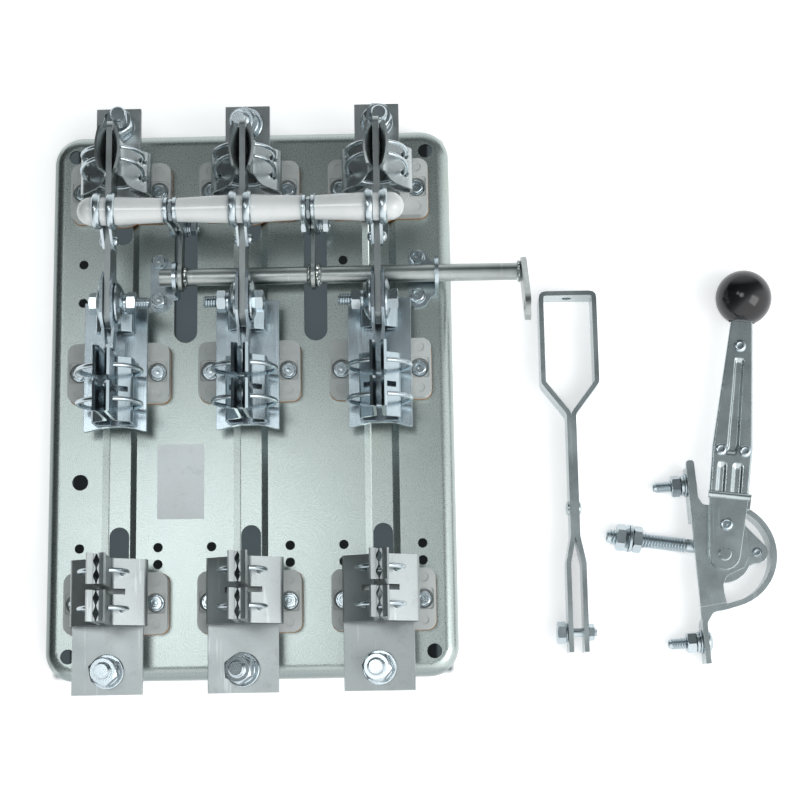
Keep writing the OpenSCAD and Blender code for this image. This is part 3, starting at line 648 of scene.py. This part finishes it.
def add_terminal_bolts():
    load = [((x - 3, -186.8, 22), (lean, 0, 1), spin)
            for x, lean, spin in zip(POLES, (-0.04, -0.18, -0.13), (12, 4, 22))]
    set_on_points("load_terminal_bolts", terminal_stack(18.5), load, BRIGHT)
    for k, (x, tip, lean, spin) in enumerate(((-90, 29, (0.14, 0, 1), 8), (0, 22, (-0.22, -0.08, 1), 40),
                                              (90, 22, (0.1, 0, 1), 25))):
        set_on_points(f"line_terminal_bolt_{k + 1}", terminal_stack(tip),
                      [((x, 189.5, 22.1), lean, spin)], BRIGHT)


LINE_Y = 160
BAR_TOP = 22
SPRING_R = 20.5
SPRING_Z = 44.3
# top and drop in y of the two turns of each clip spring
SPRING_TURNS = ((1.6, -1.15), (-6.4, -4.4))
FLIP = Matrix.Rotation(math.pi, 3, "X")
ALONG = Matrix.Rotation(math.pi / 2, 3, "Y")
PIVOT = (56.5, 48)
TRAVERSE = (113.6, 72)
CRANK_PIN = (118.28, 14)
CLAMPS = (-46.4, 45)


def pivot_stack(bm):
    """Pivot bolt along Z: head, dished washers, spring washer, nut and the long bare thread."""
    lathe(bm, [(0, -8.4), (4, -8.4), (4, 11.8), (0, 11.8)])
    for turn, rise in ((None, 5.0), (FLIP, 3.5)):
        dished = [(4.2, 4.6), (13.6, 4.6), (14, 5), (13.8, 6), (11.6, 4.6 + rise * 0.62),
                  (8.6, 4.6 + rise * 0.94), (6.8, 4.6 + rise), (4.2, 4.6 + rise), (4.2, 4.6)]
        lathe(bm, dished, count=48, turn=turn)
    lathe(bm, ring_of(6.6, 4.2, 9.6, 11.6, 0.4))
    hex_block(bm, 13, 11.6, 18.1, hole=3.8, both=True)
    hex_block(bm, 13, 8.1, 13.4, dish=0.5, turn=FLIP)
    add_thread(bm, 4.1, 1.7, 14.4, (0, 0, 11.9))
    lathe(bm, [(0, 26.2), (3.4, 26.2), (3.4, 26.5), (2.9, 27), (0, 27)], count=24)


def crank_stack(bm):
    """Crank bolt along Z with its stack of washers and a nut."""
    lathe(bm, [(0, -4.6), (2.95, -4.6), (2.95, 4.6), (0, 4.6)], count=24)
    for k in range(2):
        lathe(bm, ring_of(6.2 - 0.5 * k, 3.1, 4.1 + 1.2 * k, 5.2 + 1.2 * k))
    hex_block(bm, 10, 6.5, 10.6, hole=2.8, both=True)
    add_thread(bm, 3, 1, 5.2, (0, 0, 6.4))
    lathe(bm, ring_of(6, 3.1, 4.1, 5.2), turn=FLIP)
    hex_block(bm, 10, 5.2, 8.6, dish=0.5, turn=FLIP)


def filleted(points, radius, steps=5):
    """Polyline with each inner corner replaced by a curve."""
    path = [Vector(points[0])]
    for a, b, c in zip(points, points[1:], points[2:]):
        a, b, c = Vector(a), Vector(b), Vector(c)
        reach = min(radius, (b - a).length * 0.45, (c - b).length * 0.45)
        start = b + (a - b).normalized() * reach
        end = b + (c - b).normalized() * reach
        for k in range(steps + 1):
            t = k / steps
            path.append(start * (1 - t) ** 2 + b * (2 * t * (1 - t)) + end * t * t)
    path.append(Vector(points[-1]))
    return path


def resampled(path, gap):
    """Points at about equal distances along a polyline."""
    dense = [path[0]]
    for a, b in zip(path, path[1:]):
        count = max(1, round((b - a).length / gap))
        dense += [a.lerp(b, k / count) for k in range(1, count + 1)]
    return dense


def along_table(table, value):
    for (a, low), (b, high) in zip(table, table[1:]):
        if a <= value <= b:
            return low + (high - low) * (value - a) / (b - a)
    return table[0][1] if value < table[0][0] else table[-1][1]


LOW_EDGE = ((3.3, -12), (5.5, -12.6), (7, -14.5), (9, -17.7), (12, -20), (18.8, -21.9), (24.5, -22.8))
HIGH_EDGE = ((3.3, 14), (5, 12), (9, 9), (18.8, 7.2), (24.5, 6))
FLARE_Z = 51


def line_jaw_half(bm, pole, side):
    """One bent sheet: foot, wall, shoulder with its two holes, leaf and the barrel-shaped mouth."""
    path = filleted([(5, BAR_TOP + 1), (23.5, BAR_TOP + 1), (23.5, BAR_TOP + 11), (3.4, BAR_TOP + 20.4),
                     (3.3, FLARE_Z)], 4)
    path = resampled(path, 1.0)
    rise = 17
    path += [Vector((3.3, FLARE_Z + rise * k / 14)) for k in range(1, 15)]
    across = 34
    holes = []
    for top, drop in SPRING_TURNS:
        holes.append(Vector((18.4, top + drop * 1.42)))
    rows = []
    for x, z in path:
        t = max(0.0, (z - FLARE_Z) / rise)
        widen = step(t, 0, 0.35)
        low = along_table(LOW_EDGE, x) * (1 - widen) - 15 * widen
        high = along_table(HIGH_EDGE, x) * (1 - widen) + 15 * widen
        row = []
        for k in range(across + 1):
            y = low + (high - low) * k / across
            out = x
            if t > 0:
                out = max(3.1, 3.1 + 4.7 * t - 2.4 * (y / 15) ** 2)
            spot = Vector((out, y))
            if z > BAR_TOP + 10 and out > 12:
                for hole in holes:
                    away = spot - hole
                    if 1.7 < away.length < 3.3:
                        spot = hole + away.normalized() * 2.6
            row.append((spot.x, spot.y, z))
        rows.append(row)
    verts = [[bm.verts.new((pole + side * x, LINE_Y + y, z)) for x, y, z in row] for row in rows]
    for a in range(len(rows) - 1):
        for k in range(across):
            corners = [rows[a][k], rows[a][k + 1], rows[a + 1][k + 1], rows[a + 1][k]]
            middle = Vector([sum(c[i] for c in corners) / 4 for i in range(3)])
            if middle.z > BAR_TOP + 10 and middle.x > 12:
                if any((middle.xy - hole).length < 2.5 for hole in holes):
                    continue
            face = (verts[a][k], verts[a][k + 1], verts[a + 1][k + 1], verts[a + 1][k])
            bm.faces.new(face if side > 0 else tuple(reversed(face)))


def add_line_jaws():
    bm = bmesh.new()
    for pole in POLES:
        for side in (-1, 1):
            line_jaw_half(bm, pole, side)
    loose = [v for v in bm.verts if not v.link_faces]
    bmesh.ops.delete(bm, geom=loose, context="VERTS")
    obj = link_object("line_jaw_sheets", mesh_from(bm, "line_jaw_sheets"))
    modify(obj, "SOLIDIFY", thickness=1.7 * MM, offset=0, use_even_offset=True)
    settle_in(obj, finishes["jaw_metal"], "frame", 40)
    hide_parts("line_jaws")


def wire(bm, points, radius, count=12):
    """Round wire along a list of points, its ends rounded off."""
    rings = []
    total = len(points)
    side = Vector((0, 1, 0))
    for k, point in enumerate(points):
        ahead = (points[min(k + 1, total - 1)] - points[max(k - 1, 0)]).normalized()
        across = side.cross(ahead).normalized()
        over = ahead.cross(across).normalized()
        rings.append([bm.verts.new(point + (across * math.cos(2 * math.pi * j / count)
                                            + over * math.sin(2 * math.pi * j / count)) * radius)
                      for j in range(count)])
    for a, b in zip(rings, rings[1:]):
        for j in range(count):
            n = (j + 1) % count
            bm.faces.new((a[j], a[n], b[n], b[j]))
    for ring, point, back in ((rings[0], points[0], points[1]), (rings[-1], points[-1], points[-2])):
        tip = bm.verts.new(point + (point - back).normalized() * radius * 0.5)
        for j in range(count):
            bm.faces.new((ring[j], ring[(j + 1) % count], tip))


def add_line_springs():
    """Clip springs of the line jaws, bent round each jaw and through its shoulders."""
    bm = bmesh.new()
    for pole in POLES:
        for top, drop in SPRING_TURNS:
            points = []
            for k in range(73):
                angle = math.radians(24 + (360 - 48) * k / 72)
                fall = 1 - math.cos(angle)
                points.append(Vector((pole + SPRING_R * math.sin(angle), LINE_Y + top + drop * fall,
                                      SPRING_Z + SPRING_R * math.cos(angle))))
            wire(bm, points, 1.35)
    obj = object_from(bm, "line_clip_springs", BRIGHT, "frame", 60)
    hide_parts("line_springs")


def add_linkage_bolts():
    y, z = PIVOT
    pivots = [((-90, y, z), (1, 0, 0), 8), ((0, y, z), (-1, 0, 0), 35), ((90, y, z), (-1, 0, 0), 14)]
    bolts = set_on_points("pivot_stacks", pivot_stack, pivots, BRIGHT)
    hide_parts("pivot_bolts")
    y, z = CRANK_PIN
    cranks = [((x, y, z), (1, 0, 0), spin) for x, spin in zip(CLAMPS, (10, 38))]
    bolts = set_on_points("crank_stacks", crank_stack, cranks, BRIGHT, "links")
    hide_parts("crank_bolts")


def prism(bm, outline, low, high, soft=0.0):
    """Plate between two heights with the edges of its upper face broken."""
    count = len(outline)
    centre = Vector((sum(x for x, _ in outline), sum(y for _, y in outline))) / count
    levels = [(0, low), (0, high - soft)] + ([(soft, high)] if soft else [])
    rings = []
    for inset, height in levels:
        ring = []
        for x, y in outline:
            point = Vector((x, y))
            if inset:
                point = point.lerp(centre, inset / max(inset * 2, (point - centre).length))
            ring.append(bm.verts.new((point.x, point.y, height)))
        rings.append(ring)
    for a, b in zip(rings, rings[1:]):
        for k in range(count):
            n = (k + 1) % count
            bm.faces.new((a[k], a[n], b[n], b[k]))
    bm.faces.new(list(reversed(rings[0])))
    bm.faces.new(rings[-1])
    return [v for ring in rings for v in ring]


def dome(bm, radius, height, foot=0.0, at=(0, 0, 0), turn=None, count=28):
    """Rivet head: a short wall and a low dome."""
    profile = [(0, 0), (radius, 0)]
    if foot:
        profile.append((radius, foot))
    steps = 5
    profile += [(radius * math.cos(math.pi / 2 * k / steps),
                 foot + (height - foot) * math.sin(math.pi / 2 * k / steps)) for k in range(1, steps)]
    profile.append((0, height))
    lathe(bm, profile, at, count, turn)


def add_collars():
    """Domed strap rings on the sleeves over each knife, with riveted tails."""
    bm = bmesh.new()
    y, z = TRAVERSE
    tail = Vector((98.1, 53))
    ring = [(9.8, 0), (11.1, 0), (11.9, 0.7), (12.3, 1.9), (12.3, 3.4), (11.9, 4.6), (11.1, 5.3),
            (9.8, 5.3), (9.8, 0)]
    for x in POLES:
        for side in (-1, 1):
            turn = ALONG if side > 0 else ALONG @ FLIP
            lathe(bm, ring, (x + side * 2.1, y, z), 48, turn)
            outline = [(y - 3, z - 10.2), (y - 10.5, z - 3), (tail.x - 6, tail.y + 3.5),
                       (tail.x - 6, tail.y - 3), (tail.x - 2.5, tail.y - 6), (tail.x + 2.5, tail.y - 5.5)]
            verts = prism(bm, outline, 0, 2, 0.4)
            upright = Matrix(((0, 0, side), (1, 0, 0), (0, 1, 0)))
            bmesh.ops.transform(bm, matrix=upright.to_4x4(), verts=verts)
            bmesh.ops.translate(bm, vec=(x + side * 2.05, 0, 0), verts=verts)
            dome(bm, 3.6, 2.6, 0.5, (x + side * 4.05, tail.x, tail.y), turn)
        lathe(bm, [(0, 0), (1.9, 0), (1.9, 8), (0, 8)], (x - 4, tail.x, tail.y), 20, ALONG)
    obj = object_from(bm, "collar_straps", BRIGHT, "bridge", 28)
    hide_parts("collars")


def add_traverse_nuts():
    """Nut on the tie rod between the eyes of each pair of link straps, a washer at each sleeve."""
    bm = bmesh.new()
    for x in CLAMPS:
        at = (x, *TRAVERSE)
        hex_block(bm, 13, -1.5, 1.5, hole=4.1, both=True, at=at, turn=ALONG)
        for side in (-1, 1):
            low = 4.05 if side > 0 else -4.55
            lathe(bm, ring_of(9.2, 4.2, low, low + 0.5, 0.1), at, 40, ALONG)
    object_from(bm, "traverse_nuts", BRIGHT, "bridge", 28)


def weld_bead(bm, x, radius, width, height, seed, at, reach=(0, 360)):
    """Uneven bead of weld metal round a bar along X."""
    around, across = 56, 8
    span = math.radians(reach[1] - reach[0])
    closed = reach[1] - reach[0] >= 360
    rings = []
    for k in range(around if closed else around + 1):
        angle = math.radians(reach[0]) + span * k / around
        ring = []
        for j in range(across + 1):
            t = j / across
            rough = noise.noise(Vector((k * 0.5 + seed * 7, j * 0.5, seed)))
            ripple = 0.18 * math.sin(k * 1.9 + j * 0.5)
            lift = height * math.sin(math.pi * t) * (1 + 0.45 * rough + ripple)
            edge = 0.35 * noise.noise(Vector((k * 0.4, seed * 3 + (j > across / 2), 0)))
            r = radius - 0.25 + max(0, lift)
            ring.append(bm.verts.new((x + width * (t - 0.5) * (1 + edge), at[0] + r * math.cos(angle),
                                      at[1] + r * math.sin(angle))))
        rings.append(ring)
    total = len(rings)
    for k in range(total if closed else total - 1):
        a, b = rings[k], rings[(k + 1) % total]
        for j in range(across):
            bm.faces.new((a[j], a[j + 1], b[j + 1], b[j]))
        bm.faces.new((a[across], a[0], b[0], b[across]))
    if not closed:
        bm.faces.new(rings[0])
        bm.faces.new(list(reversed(rings[-1])))


def add_welds():
    """Beads that hold the cranks and the driving arm to the shaft."""
    bm = bmesh.new()
    for seed, (x, width, height) in enumerate(((CLAMPS[0] + 3.4, 4.2, 1.9), (CLAMPS[1] + 3.2, 5.4, 2.4),
                                               (CLAMPS[1] - 2.9, 3.4, 1.5), (186.2, 3.6, 1.8))):
        weld_bead(bm, x, 6, width, height, seed + 1, SHAFT)
    object_from(bm, "shaft_welds", WELD, "rocker", 40)


# ---- side drive and link rod ----

DRIVE = (320.7, -114.1)
CHEEK_TURN = math.radians(3.2)
LEVER_TURN = math.radians(-7)
LEVER_TOP = 2.75
SECTOR_TOP = -3.85
PIN_X = 22.8
ROD_AXIS_Z = -12.15
ROD_LIFT = 0.5
LUG_FACE = -19.5
LEFTWARD = Matrix.Rotation(-math.pi / 2, 3, "Y")


def to_drive(bm, verts, turn):
    """Moves vertices drawn round the pivot to their place beside the plate."""
    place = Matrix.Translation((*DRIVE, 0)) @ Matrix.Rotation(turn, 4, "Z")
    bmesh.ops.transform(bm, matrix=place, verts=list(verts))


def step(t, low, high):
    t = max(0.0, min(1.0, (t - low) / (high - low)))
    return t * t * (3 - 2 * t)


def pressed(x, y):
    """Depth pressed into the lever at a place, with the long groove and the two short channels."""
    groove_mid = 0.2 - 2.4 * (1 - step(y, 64, 76))
    half = 2.4 + 0.6 * step(y, 120, 80)
    across = 1 - step(abs(x - groove_mid), half - 0.5, half + 0.9)
    along = step(y, 68, 71) * (1 - step(y, 133, 136))
    depth = 1.5 * across * along
    for mid, wide in ((-6.2, 2.7), (4.6, 3.2)):
        across = 1 - step(abs(x - mid), wide - 1.6, wide + 0.6)
        depth = max(depth, 1.3 * across * (1 - step(y, 59, 63)))
    return depth


def lever_half(y):
    """Half width of the lever: nearly parallel above the clip, then a long taper to the knob."""
    if y < 73:
        return 13.2 + 0.5 * (y - 40) / 33
    return 13.7 - 6.1 * (y - 73) / 88


def add_lever():
    """Pressed lever: a fine sheet with rounded long edges, its grooves sunk into the upper face."""
    bm = bmesh.new()
    across, along, sheet = 44, 170, 3.0
    start, end = 38.0, 163.0
    top, low = [], []
    for j in range(along + 1):
        y = start + (end - start) * j / along
        half = lever_half(y)
        upper, lower = [], []
        for k in range(across + 1):
            x = half * (2 * k / across - 1)
            edge = max(0.0, abs(x) - half + 1.1) / 1.1
            fall = 0.7 * edge * edge
            upper.append(bm.verts.new((x, y, LEVER_TOP - fall - pressed(x, y))))
            lower.append(bm.verts.new((x, y, LEVER_TOP - sheet)))
        top.append(upper)
        low.append(lower)
    for j in range(along):
        for k in range(across):
            bm.faces.new((top[j][k], top[j][k + 1], top[j + 1][k + 1], top[j + 1][k]))
            bm.faces.new((low[j][k], low[j + 1][k], low[j + 1][k + 1], low[j][k + 1]))
        for k, turned in ((0, True), (across, False)):
            wall = (top[j][k], top[j + 1][k], low[j + 1][k], low[j][k])
            bm.faces.new(wall if not turned else tuple(reversed(wall)))
    for j in (0, along):
        for k in range(across):
            bm.faces.new((top[j][k], low[j][k], low[j][k + 1], top[j][k + 1]))
    to_drive(bm, bm.verts, LEVER_TURN)
    obj = object_from(bm, "pressed_lever", finishes["drive_zinc"], "hand_lever", 50)
    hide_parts("lever")


def dimpled_rivet(bm, x, y, z, radius, height):
    """Rivet head whose middle is struck in."""
    profile = [(0, 0), (radius, 0), (radius, 0.3), (radius * 0.92, height * 0.6),
               (radius * 0.74, height * 0.95), (radius * 0.55, height), (radius * 0.42, height * 0.8),
               (radius * 0.34, height * 0.25), (0, height * 0.15)]
    before = set(bm.verts)
    lathe(bm, profile, (x, y, z), 32)
    return [v for v in bm.verts if v not in before]


def add_lever_fittings():
    """Rivets of the lever, the folded clip with its screw, and the pivot rivet."""
    bm = bmesh.new()
    for x, y in ((-0.2, 144.5), (-8.0, 71.2), (8.4, 71.5)):
        dimpled_rivet(bm, x, y, LEVER_TOP - 0.1, 4.3, 1.5)
    lathe(bm, [(0, 0), (4.5, 0), (4.5, 0.7), (4.1, 1.1), (3.3, 1.1), (3.0, 0.6), (2.2, 0.7), (1.2, 1.3),
               (0, 1.5)], (0, 0, LEVER_TOP - 0.1), 36)
    lathe(bm, [(0, 0), (4.4, 0), (4.4, 0.5), (3.7, 1.5), (2.9, 1.7), (2.3, 1.2), (1.7, 0.3), (0.9, 0.3),
               (0.7, 0.9), (0, 1.0)], (-0.4, 20.2, LEVER_TOP - 0.1), 32)
    to_drive(bm, bm.verts, LEVER_TURN)
    before = set(bm.verts)
    dimpled_rivet(bm, PIN_X, 0, SECTOR_TOP - 0.1, 3.4, 1.3)
    to_drive(bm, [v for v in bm.verts if v not in before], CHEEK_TURN)
    object_from(bm, "drive_rivets", BRIGHT, "hand_lever", 30)


def add_clip_fold():
    """Ridge where the clip is folded up over the root of the lever, with its short side flange."""
    bm = bmesh.new()
    ridge = []
    wide = 14.1
    for x in (-wide, wide):
        ridge.append([bm.verts.new((x, 40 + r * math.cos(a), LEVER_TOP - 1.2 + 1.25 * r * math.sin(a)))
                      for r, a in [(2.6, math.pi * k / 10) for k in range(11)]])
    for a, b in zip(range(10), range(1, 11)):
        bm.faces.new((ridge[0][a], ridge[0][b], ridge[1][b], ridge[1][a]))
    bm.faces.new((ridge[0][0], ridge[1][0], ridge[1][10], ridge[0][10]))
    bm.faces.new(list(reversed(ridge[0])))
    bm.faces.new(ridge[1])
    prism(bm, [(wide - 1.2, 31.5), (wide + 0.6, 31.5), (wide + 1.2, 42.4), (wide - 1.2, 42.4)],
          LEVER_TOP - 6, LEVER_TOP - 0.6, 0.5)
    to_drive(bm, bm.verts, LEVER_TURN)
    object_from(bm, "clip_fold", finishes["drive_zinc"], "hand_lever", 35)


def flange_nut(bm, across, low, hole, flange, at, turn):
    lathe(bm, [(hole, low), (flange - 0.6, low), (flange, low + 0.5), (flange - 0.4, low + 1.5),
               (across * 0.52, low + 2.8), (hole, low + 2.8), (hole, low)], at, 40, turn)
    hex_block(bm, across, low + 2.2, low + across * 0.56, hole=hole, both=True, at=at, turn=turn)


def add_output_rod():
    """Threaded rod on the sector's pin, with its lock nut, washer and flange nut."""
    bm = bmesh.new()
    lift = Matrix.Rotation(math.radians(ROD_LIFT), 3, "Y")
    lean = Matrix.Rotation(math.radians(-11), 3, "Z") @ lift @ LEFTWARD
    at = (PIN_X, 0, ROD_AXIS_Z)
    lathe(bm, [(0, 5), (4.7, 5), (4.7, 47.4), (4.3, 48), (0, 48)], at, 36, lean)
    add_thread(bm, 5.5, 2, 52, tuple(Vector(at) + lean @ Vector((0, 0, 47.6))), lean)
    lathe(bm, [(0, 99), (4.4, 99), (4.4, 101.2), (3.6, 102), (0, 102)], at, 28, lean)
    hex_block(bm, 16, 77.5, 84, hole=4.6, both=True, at=at, turn=lean)
    lathe(bm, ring_of(9.6, 5, 84.3, 86.3), at, 44, lean)
    flange_nut(bm, 16, 86.5, 4.6, 9.5, at, lean)
    lathe(bm, [(3.1, -4.9), (6.6, -4.9), (7, -4.5), (7, 4.5), (6.6, 4.9), (3.1, 4.9), (3.1, -4.9)],
          at, 40)
    to_drive(bm, bm.verts, CHEEK_TURN)
    obj = object_from(bm, "threaded_rod", BRIGHT, "output", 30)
    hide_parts("output_rod")


def mount_bolt(bm):
    """Mounting bolt along Z from the lug's outer face: washers, nut, bare end and a round head."""
    lathe(bm, [(0, -5), (3.9, -5), (3.9, 1), (0, 1)], count=28)
    lathe(bm, ring_of(8, 4.1, 0.1, 1.6))
    lathe(bm, ring_of(7, 4.1, 1.7, 3.7))
    hex_block(bm, 13, 4, 10.5, hole=3.8, both=True)
    add_thread(bm, 4.1, 1.7, 20.4, (0, 0, 0.8))
    lathe(bm, [(0, 21), (3, 21), (3, 22.4), (2.5, 23), (0, 23)], count=24)
    dome(bm, 7.6, 4.6, 0.8, (0, 0, -3.1), FLIP, 40)


def add_mount_bolts():
    places = []
    for x, y in ((LUG_FACE, 50), (LUG_FACE, -57)):
        point = Vector((x, y, 0))
        point.rotate(Matrix.Rotation(CHEEK_TURN, 3, "Z"))
        places.append(((DRIVE[0] + point.x, DRIVE[1] + point.y, -11),
                       (-math.cos(CHEEK_TURN), -math.sin(CHEEK_TURN), 0), 17 * len(places) + 8))
    set_on_points("lug_bolts", mount_bolt, places, BRIGHT)


def add_link_rod_fittings():
    """Rivet through the two straps, and the fork bolt with its head and nut."""
    bm = bmesh.new()
    for turn in (ALONG, LEFTWARD):
        dome(bm, 4.9, 5.6, 3.6, STRAP_RIVET, turn, 32)
    object_from(bm, "strap_rivet", finishes["drive_zinc"], "frame", 30)
    bm = bmesh.new()
    lathe(bm, [(0, -7), (2.95, -7), (2.95, 7), (0, 7)], FORK, 24, ALONG)
    lathe(bm, ring_of(6.5, 3.1, 7.1, 8.2), FORK, 32, LEFTWARD)
    hex_block(bm, 13, 8.3, 14.2, dish=0.4, at=FORK, turn=LEFTWARD)
    hex_block(bm, 10, 7.1, 11.4, hole=2.8, both=True, at=FORK, turn=ALONG)
    add_thread(bm, 3, 1, 5.4, FORK + Vector((7, 0, 0)), ALONG)
    obj = object_from(bm, "fork_bolt", BRIGHT, "frame", 28)
    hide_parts("link_rod_bolt")


# ---- stage ----

def add_camera():
    data = bpy.data.cameras.new("camera")
    data.sensor_width = 36
    data.lens = 81
    data.clip_start = 0.05
    data.clip_end = 50
    cam = bpy.data.objects.new("camera", data)
    bpy.context.scene.collection.objects.link(cam)
    across = Vector((0.999777, -0.016175, -0.013591))
    up = Vector((0.01843, 0.982238, 0.18673))
    back = Vector((0.010329, -0.186939, 0.982317))
    turn = Matrix((across, up, back)).transposed()
    cam.matrix_world = Matrix.Translation((0.115777, -0.235673, 1.218795)) @ turn.to_4x4()
    bpy.context.scene.camera = cam


def add_softbox(name, place, side, power, colour):
    """Square lamp that looks at the plate's middle."""
    data = bpy.data.lights.new(name, "AREA")
    data.shape = "RECTANGLE"
    data.size = data.size_y = side
    data.energy = power
    data.color = colour
    lamp = bpy.data.objects.new(name, data)
    lamp.location = place
    lamp.rotation_euler = (-Vector(place)).to_track_quat("-Z", "Y").to_euler()
    bpy.context.scene.collection.objects.link(lamp)


def seen_directly(tree):
    """1 for rays from the camera, a mirror or a glass, 0 for the light that falls on the object."""
    path = tree.nodes.new("ShaderNodeLightPath").outputs
    seen = calc(tree, "ADD", path["Is Camera Ray"], path["Is Glossy Ray"], True)
    return calc(tree, "ADD", seen, path["Is Transmission Ray"], True)


def white_floor():
    mat, tree, shader = new_material("white_floor", {"Roughness": 0.9, "Specular IOR Level": 0})
    axes = object_axes(tree)
    # Painted shade: inside the plate's footprint the floor is painted near black in base colour and
    # emission, so round holes in the plate look dark as if in shade.
    inside_x, inside_y = (map_range(tree, calc(tree, "ABSOLUTE", axes[axis]), reach + 0.004, reach)
                          for axis, reach in (("X", 0.134), ("Y", 0.187)))
    painted_shade_mask = calc(tree, "MULTIPLY", inside_x, inside_y)
    # Painted shade and painted light: stripes at half the pole pitch glow mid grey under the slots and
    # stay near black between them, standing in for the light and shade seen through the plate's openings.
    turns = calc(tree, "MULTIPLY", axes["X"], 2 * math.pi / (POLES[2] * MM / 2))
    wave = calc(tree, "COSINE", turns)
    painted_shade_and_light_under_plate = ramp(tree, wave, [(0.1, (0.02, 0.022, 0.024)), (0.35, (0.13, 0.165, 0.18))])
    tone = blend_colours(tree, painted_shade_mask, (0.86, 0.87, 0.88), (0.05, 0.06, 0.07))
    tree.links.new(tone, shader.inputs["Base Color"])
    # Emission is even white outside the plate, and the painted light and shade stripes under it.
    tree.links.new(blend_colours(tree, painted_shade_mask, (1.0, 1.0, 1.0), painted_shade_and_light_under_plate), shader.inputs["Emission Color"])
    tree.links.new(calc(tree, "MULTIPLY", seen_directly(tree), 0.5), shader.inputs["Emission Strength"])
    return mat


def add_floor():
    bm = bmesh.new()
    level = size_before[0][2] - 0.0002
    bmesh.ops.create_grid(bm, x_segments=1, y_segments=1, size=6)
    bmesh.ops.translate(bm, vec=(0, 0, level), verts=bm.verts)
    mesh = bpy.data.meshes.new("floor")
    bm.to_mesh(mesh)
    bm.free()
    floor = link_object("floor", mesh)
    dress(floor, white_floor())


def studio_world():
    """Room with a bright side on the right, a dim one on the left and a bright strip beyond."""
    world = bpy.data.worlds.new("studio")
    bpy.context.scene.world = world
    world.use_nodes = True
    tree = world.node_tree
    tree.nodes.clear()
    coord = tree.nodes.new("ShaderNodeTexCoord").outputs["Generated"]
    lean = add_node(tree, "ShaderNodeVectorMath", {0: coord, 1: (0.62, -0.78, 0)},
                    operation="DOT_PRODUCT").outputs["Value"]
    place = map_range(tree, lean, -1, 1)
    room = ramp(tree, place, [(0.1, (0.03, 0.034, 0.035)), (0.36, (0.08, 0.09, 0.093)),
                              (0.45, (0.125, 0.137, 0.14)), (0.52, (0.19, 0.205, 0.21)),
                              (0.6, (0.38, 0.4, 0.405)), (0.68, (0.84, 0.87, 0.88)),
                              (0.85, (1.0, 1.0, 1.0))])
    axes = add_node(tree, "ShaderNodeSeparateXYZ", {0: coord}).outputs
    room = blend_colours(tree, map_range(tree, axes["Y"], 0.72, 0.95), room, (0.62, 0.65, 0.66))
    back = add_node(tree, "ShaderNodeBackground", {"Color": room, "Strength": 1.5})
    add_node(tree, "ShaderNodeOutputWorld", {0: back.outputs[0]})


scene = bpy.context.scene
scene.view_settings.view_transform = "Standard"
add_camera()
add_floor()
studio_world()
add_softbox("key", (1.35, -0.6, 1.4), 1.1, 10, (1, 1, 1))
add_softbox("top", (-0.34, 0.06, 2.2), 0.6, 4.3, (0.97, 0.99, 1))
add_softbox("left", (-0.95, 0.45, 2.1), 0.4, 1.6, (0.97, 0.99, 1))

BODY = {n: b for b, ns in frame["record"]["behaviour"]["bodies"].items() for n in ns}
for node in ("line_bars", "load_bars", "mid_bars", "knives", "supports", "load_jaws",
             "mid_jaws", "pivot_jaws", "link_straps", "cranks", "drive_arm", "shaft_brackets",
             "link_rod", "side_plate", "guard_band", "sector", "lever_clip"):
    eased(node, 0.35, BODY[node])

for build in (add_plate, add_plate_screws, add_terminal_bolts, add_line_jaws, add_line_springs,
              add_linkage_bolts, add_collars, add_traverse_nuts, add_welds, add_lever,
              add_lever_fittings, add_clip_fold, add_output_rod, add_mount_bolts,
              add_link_rod_fittings):
    build()
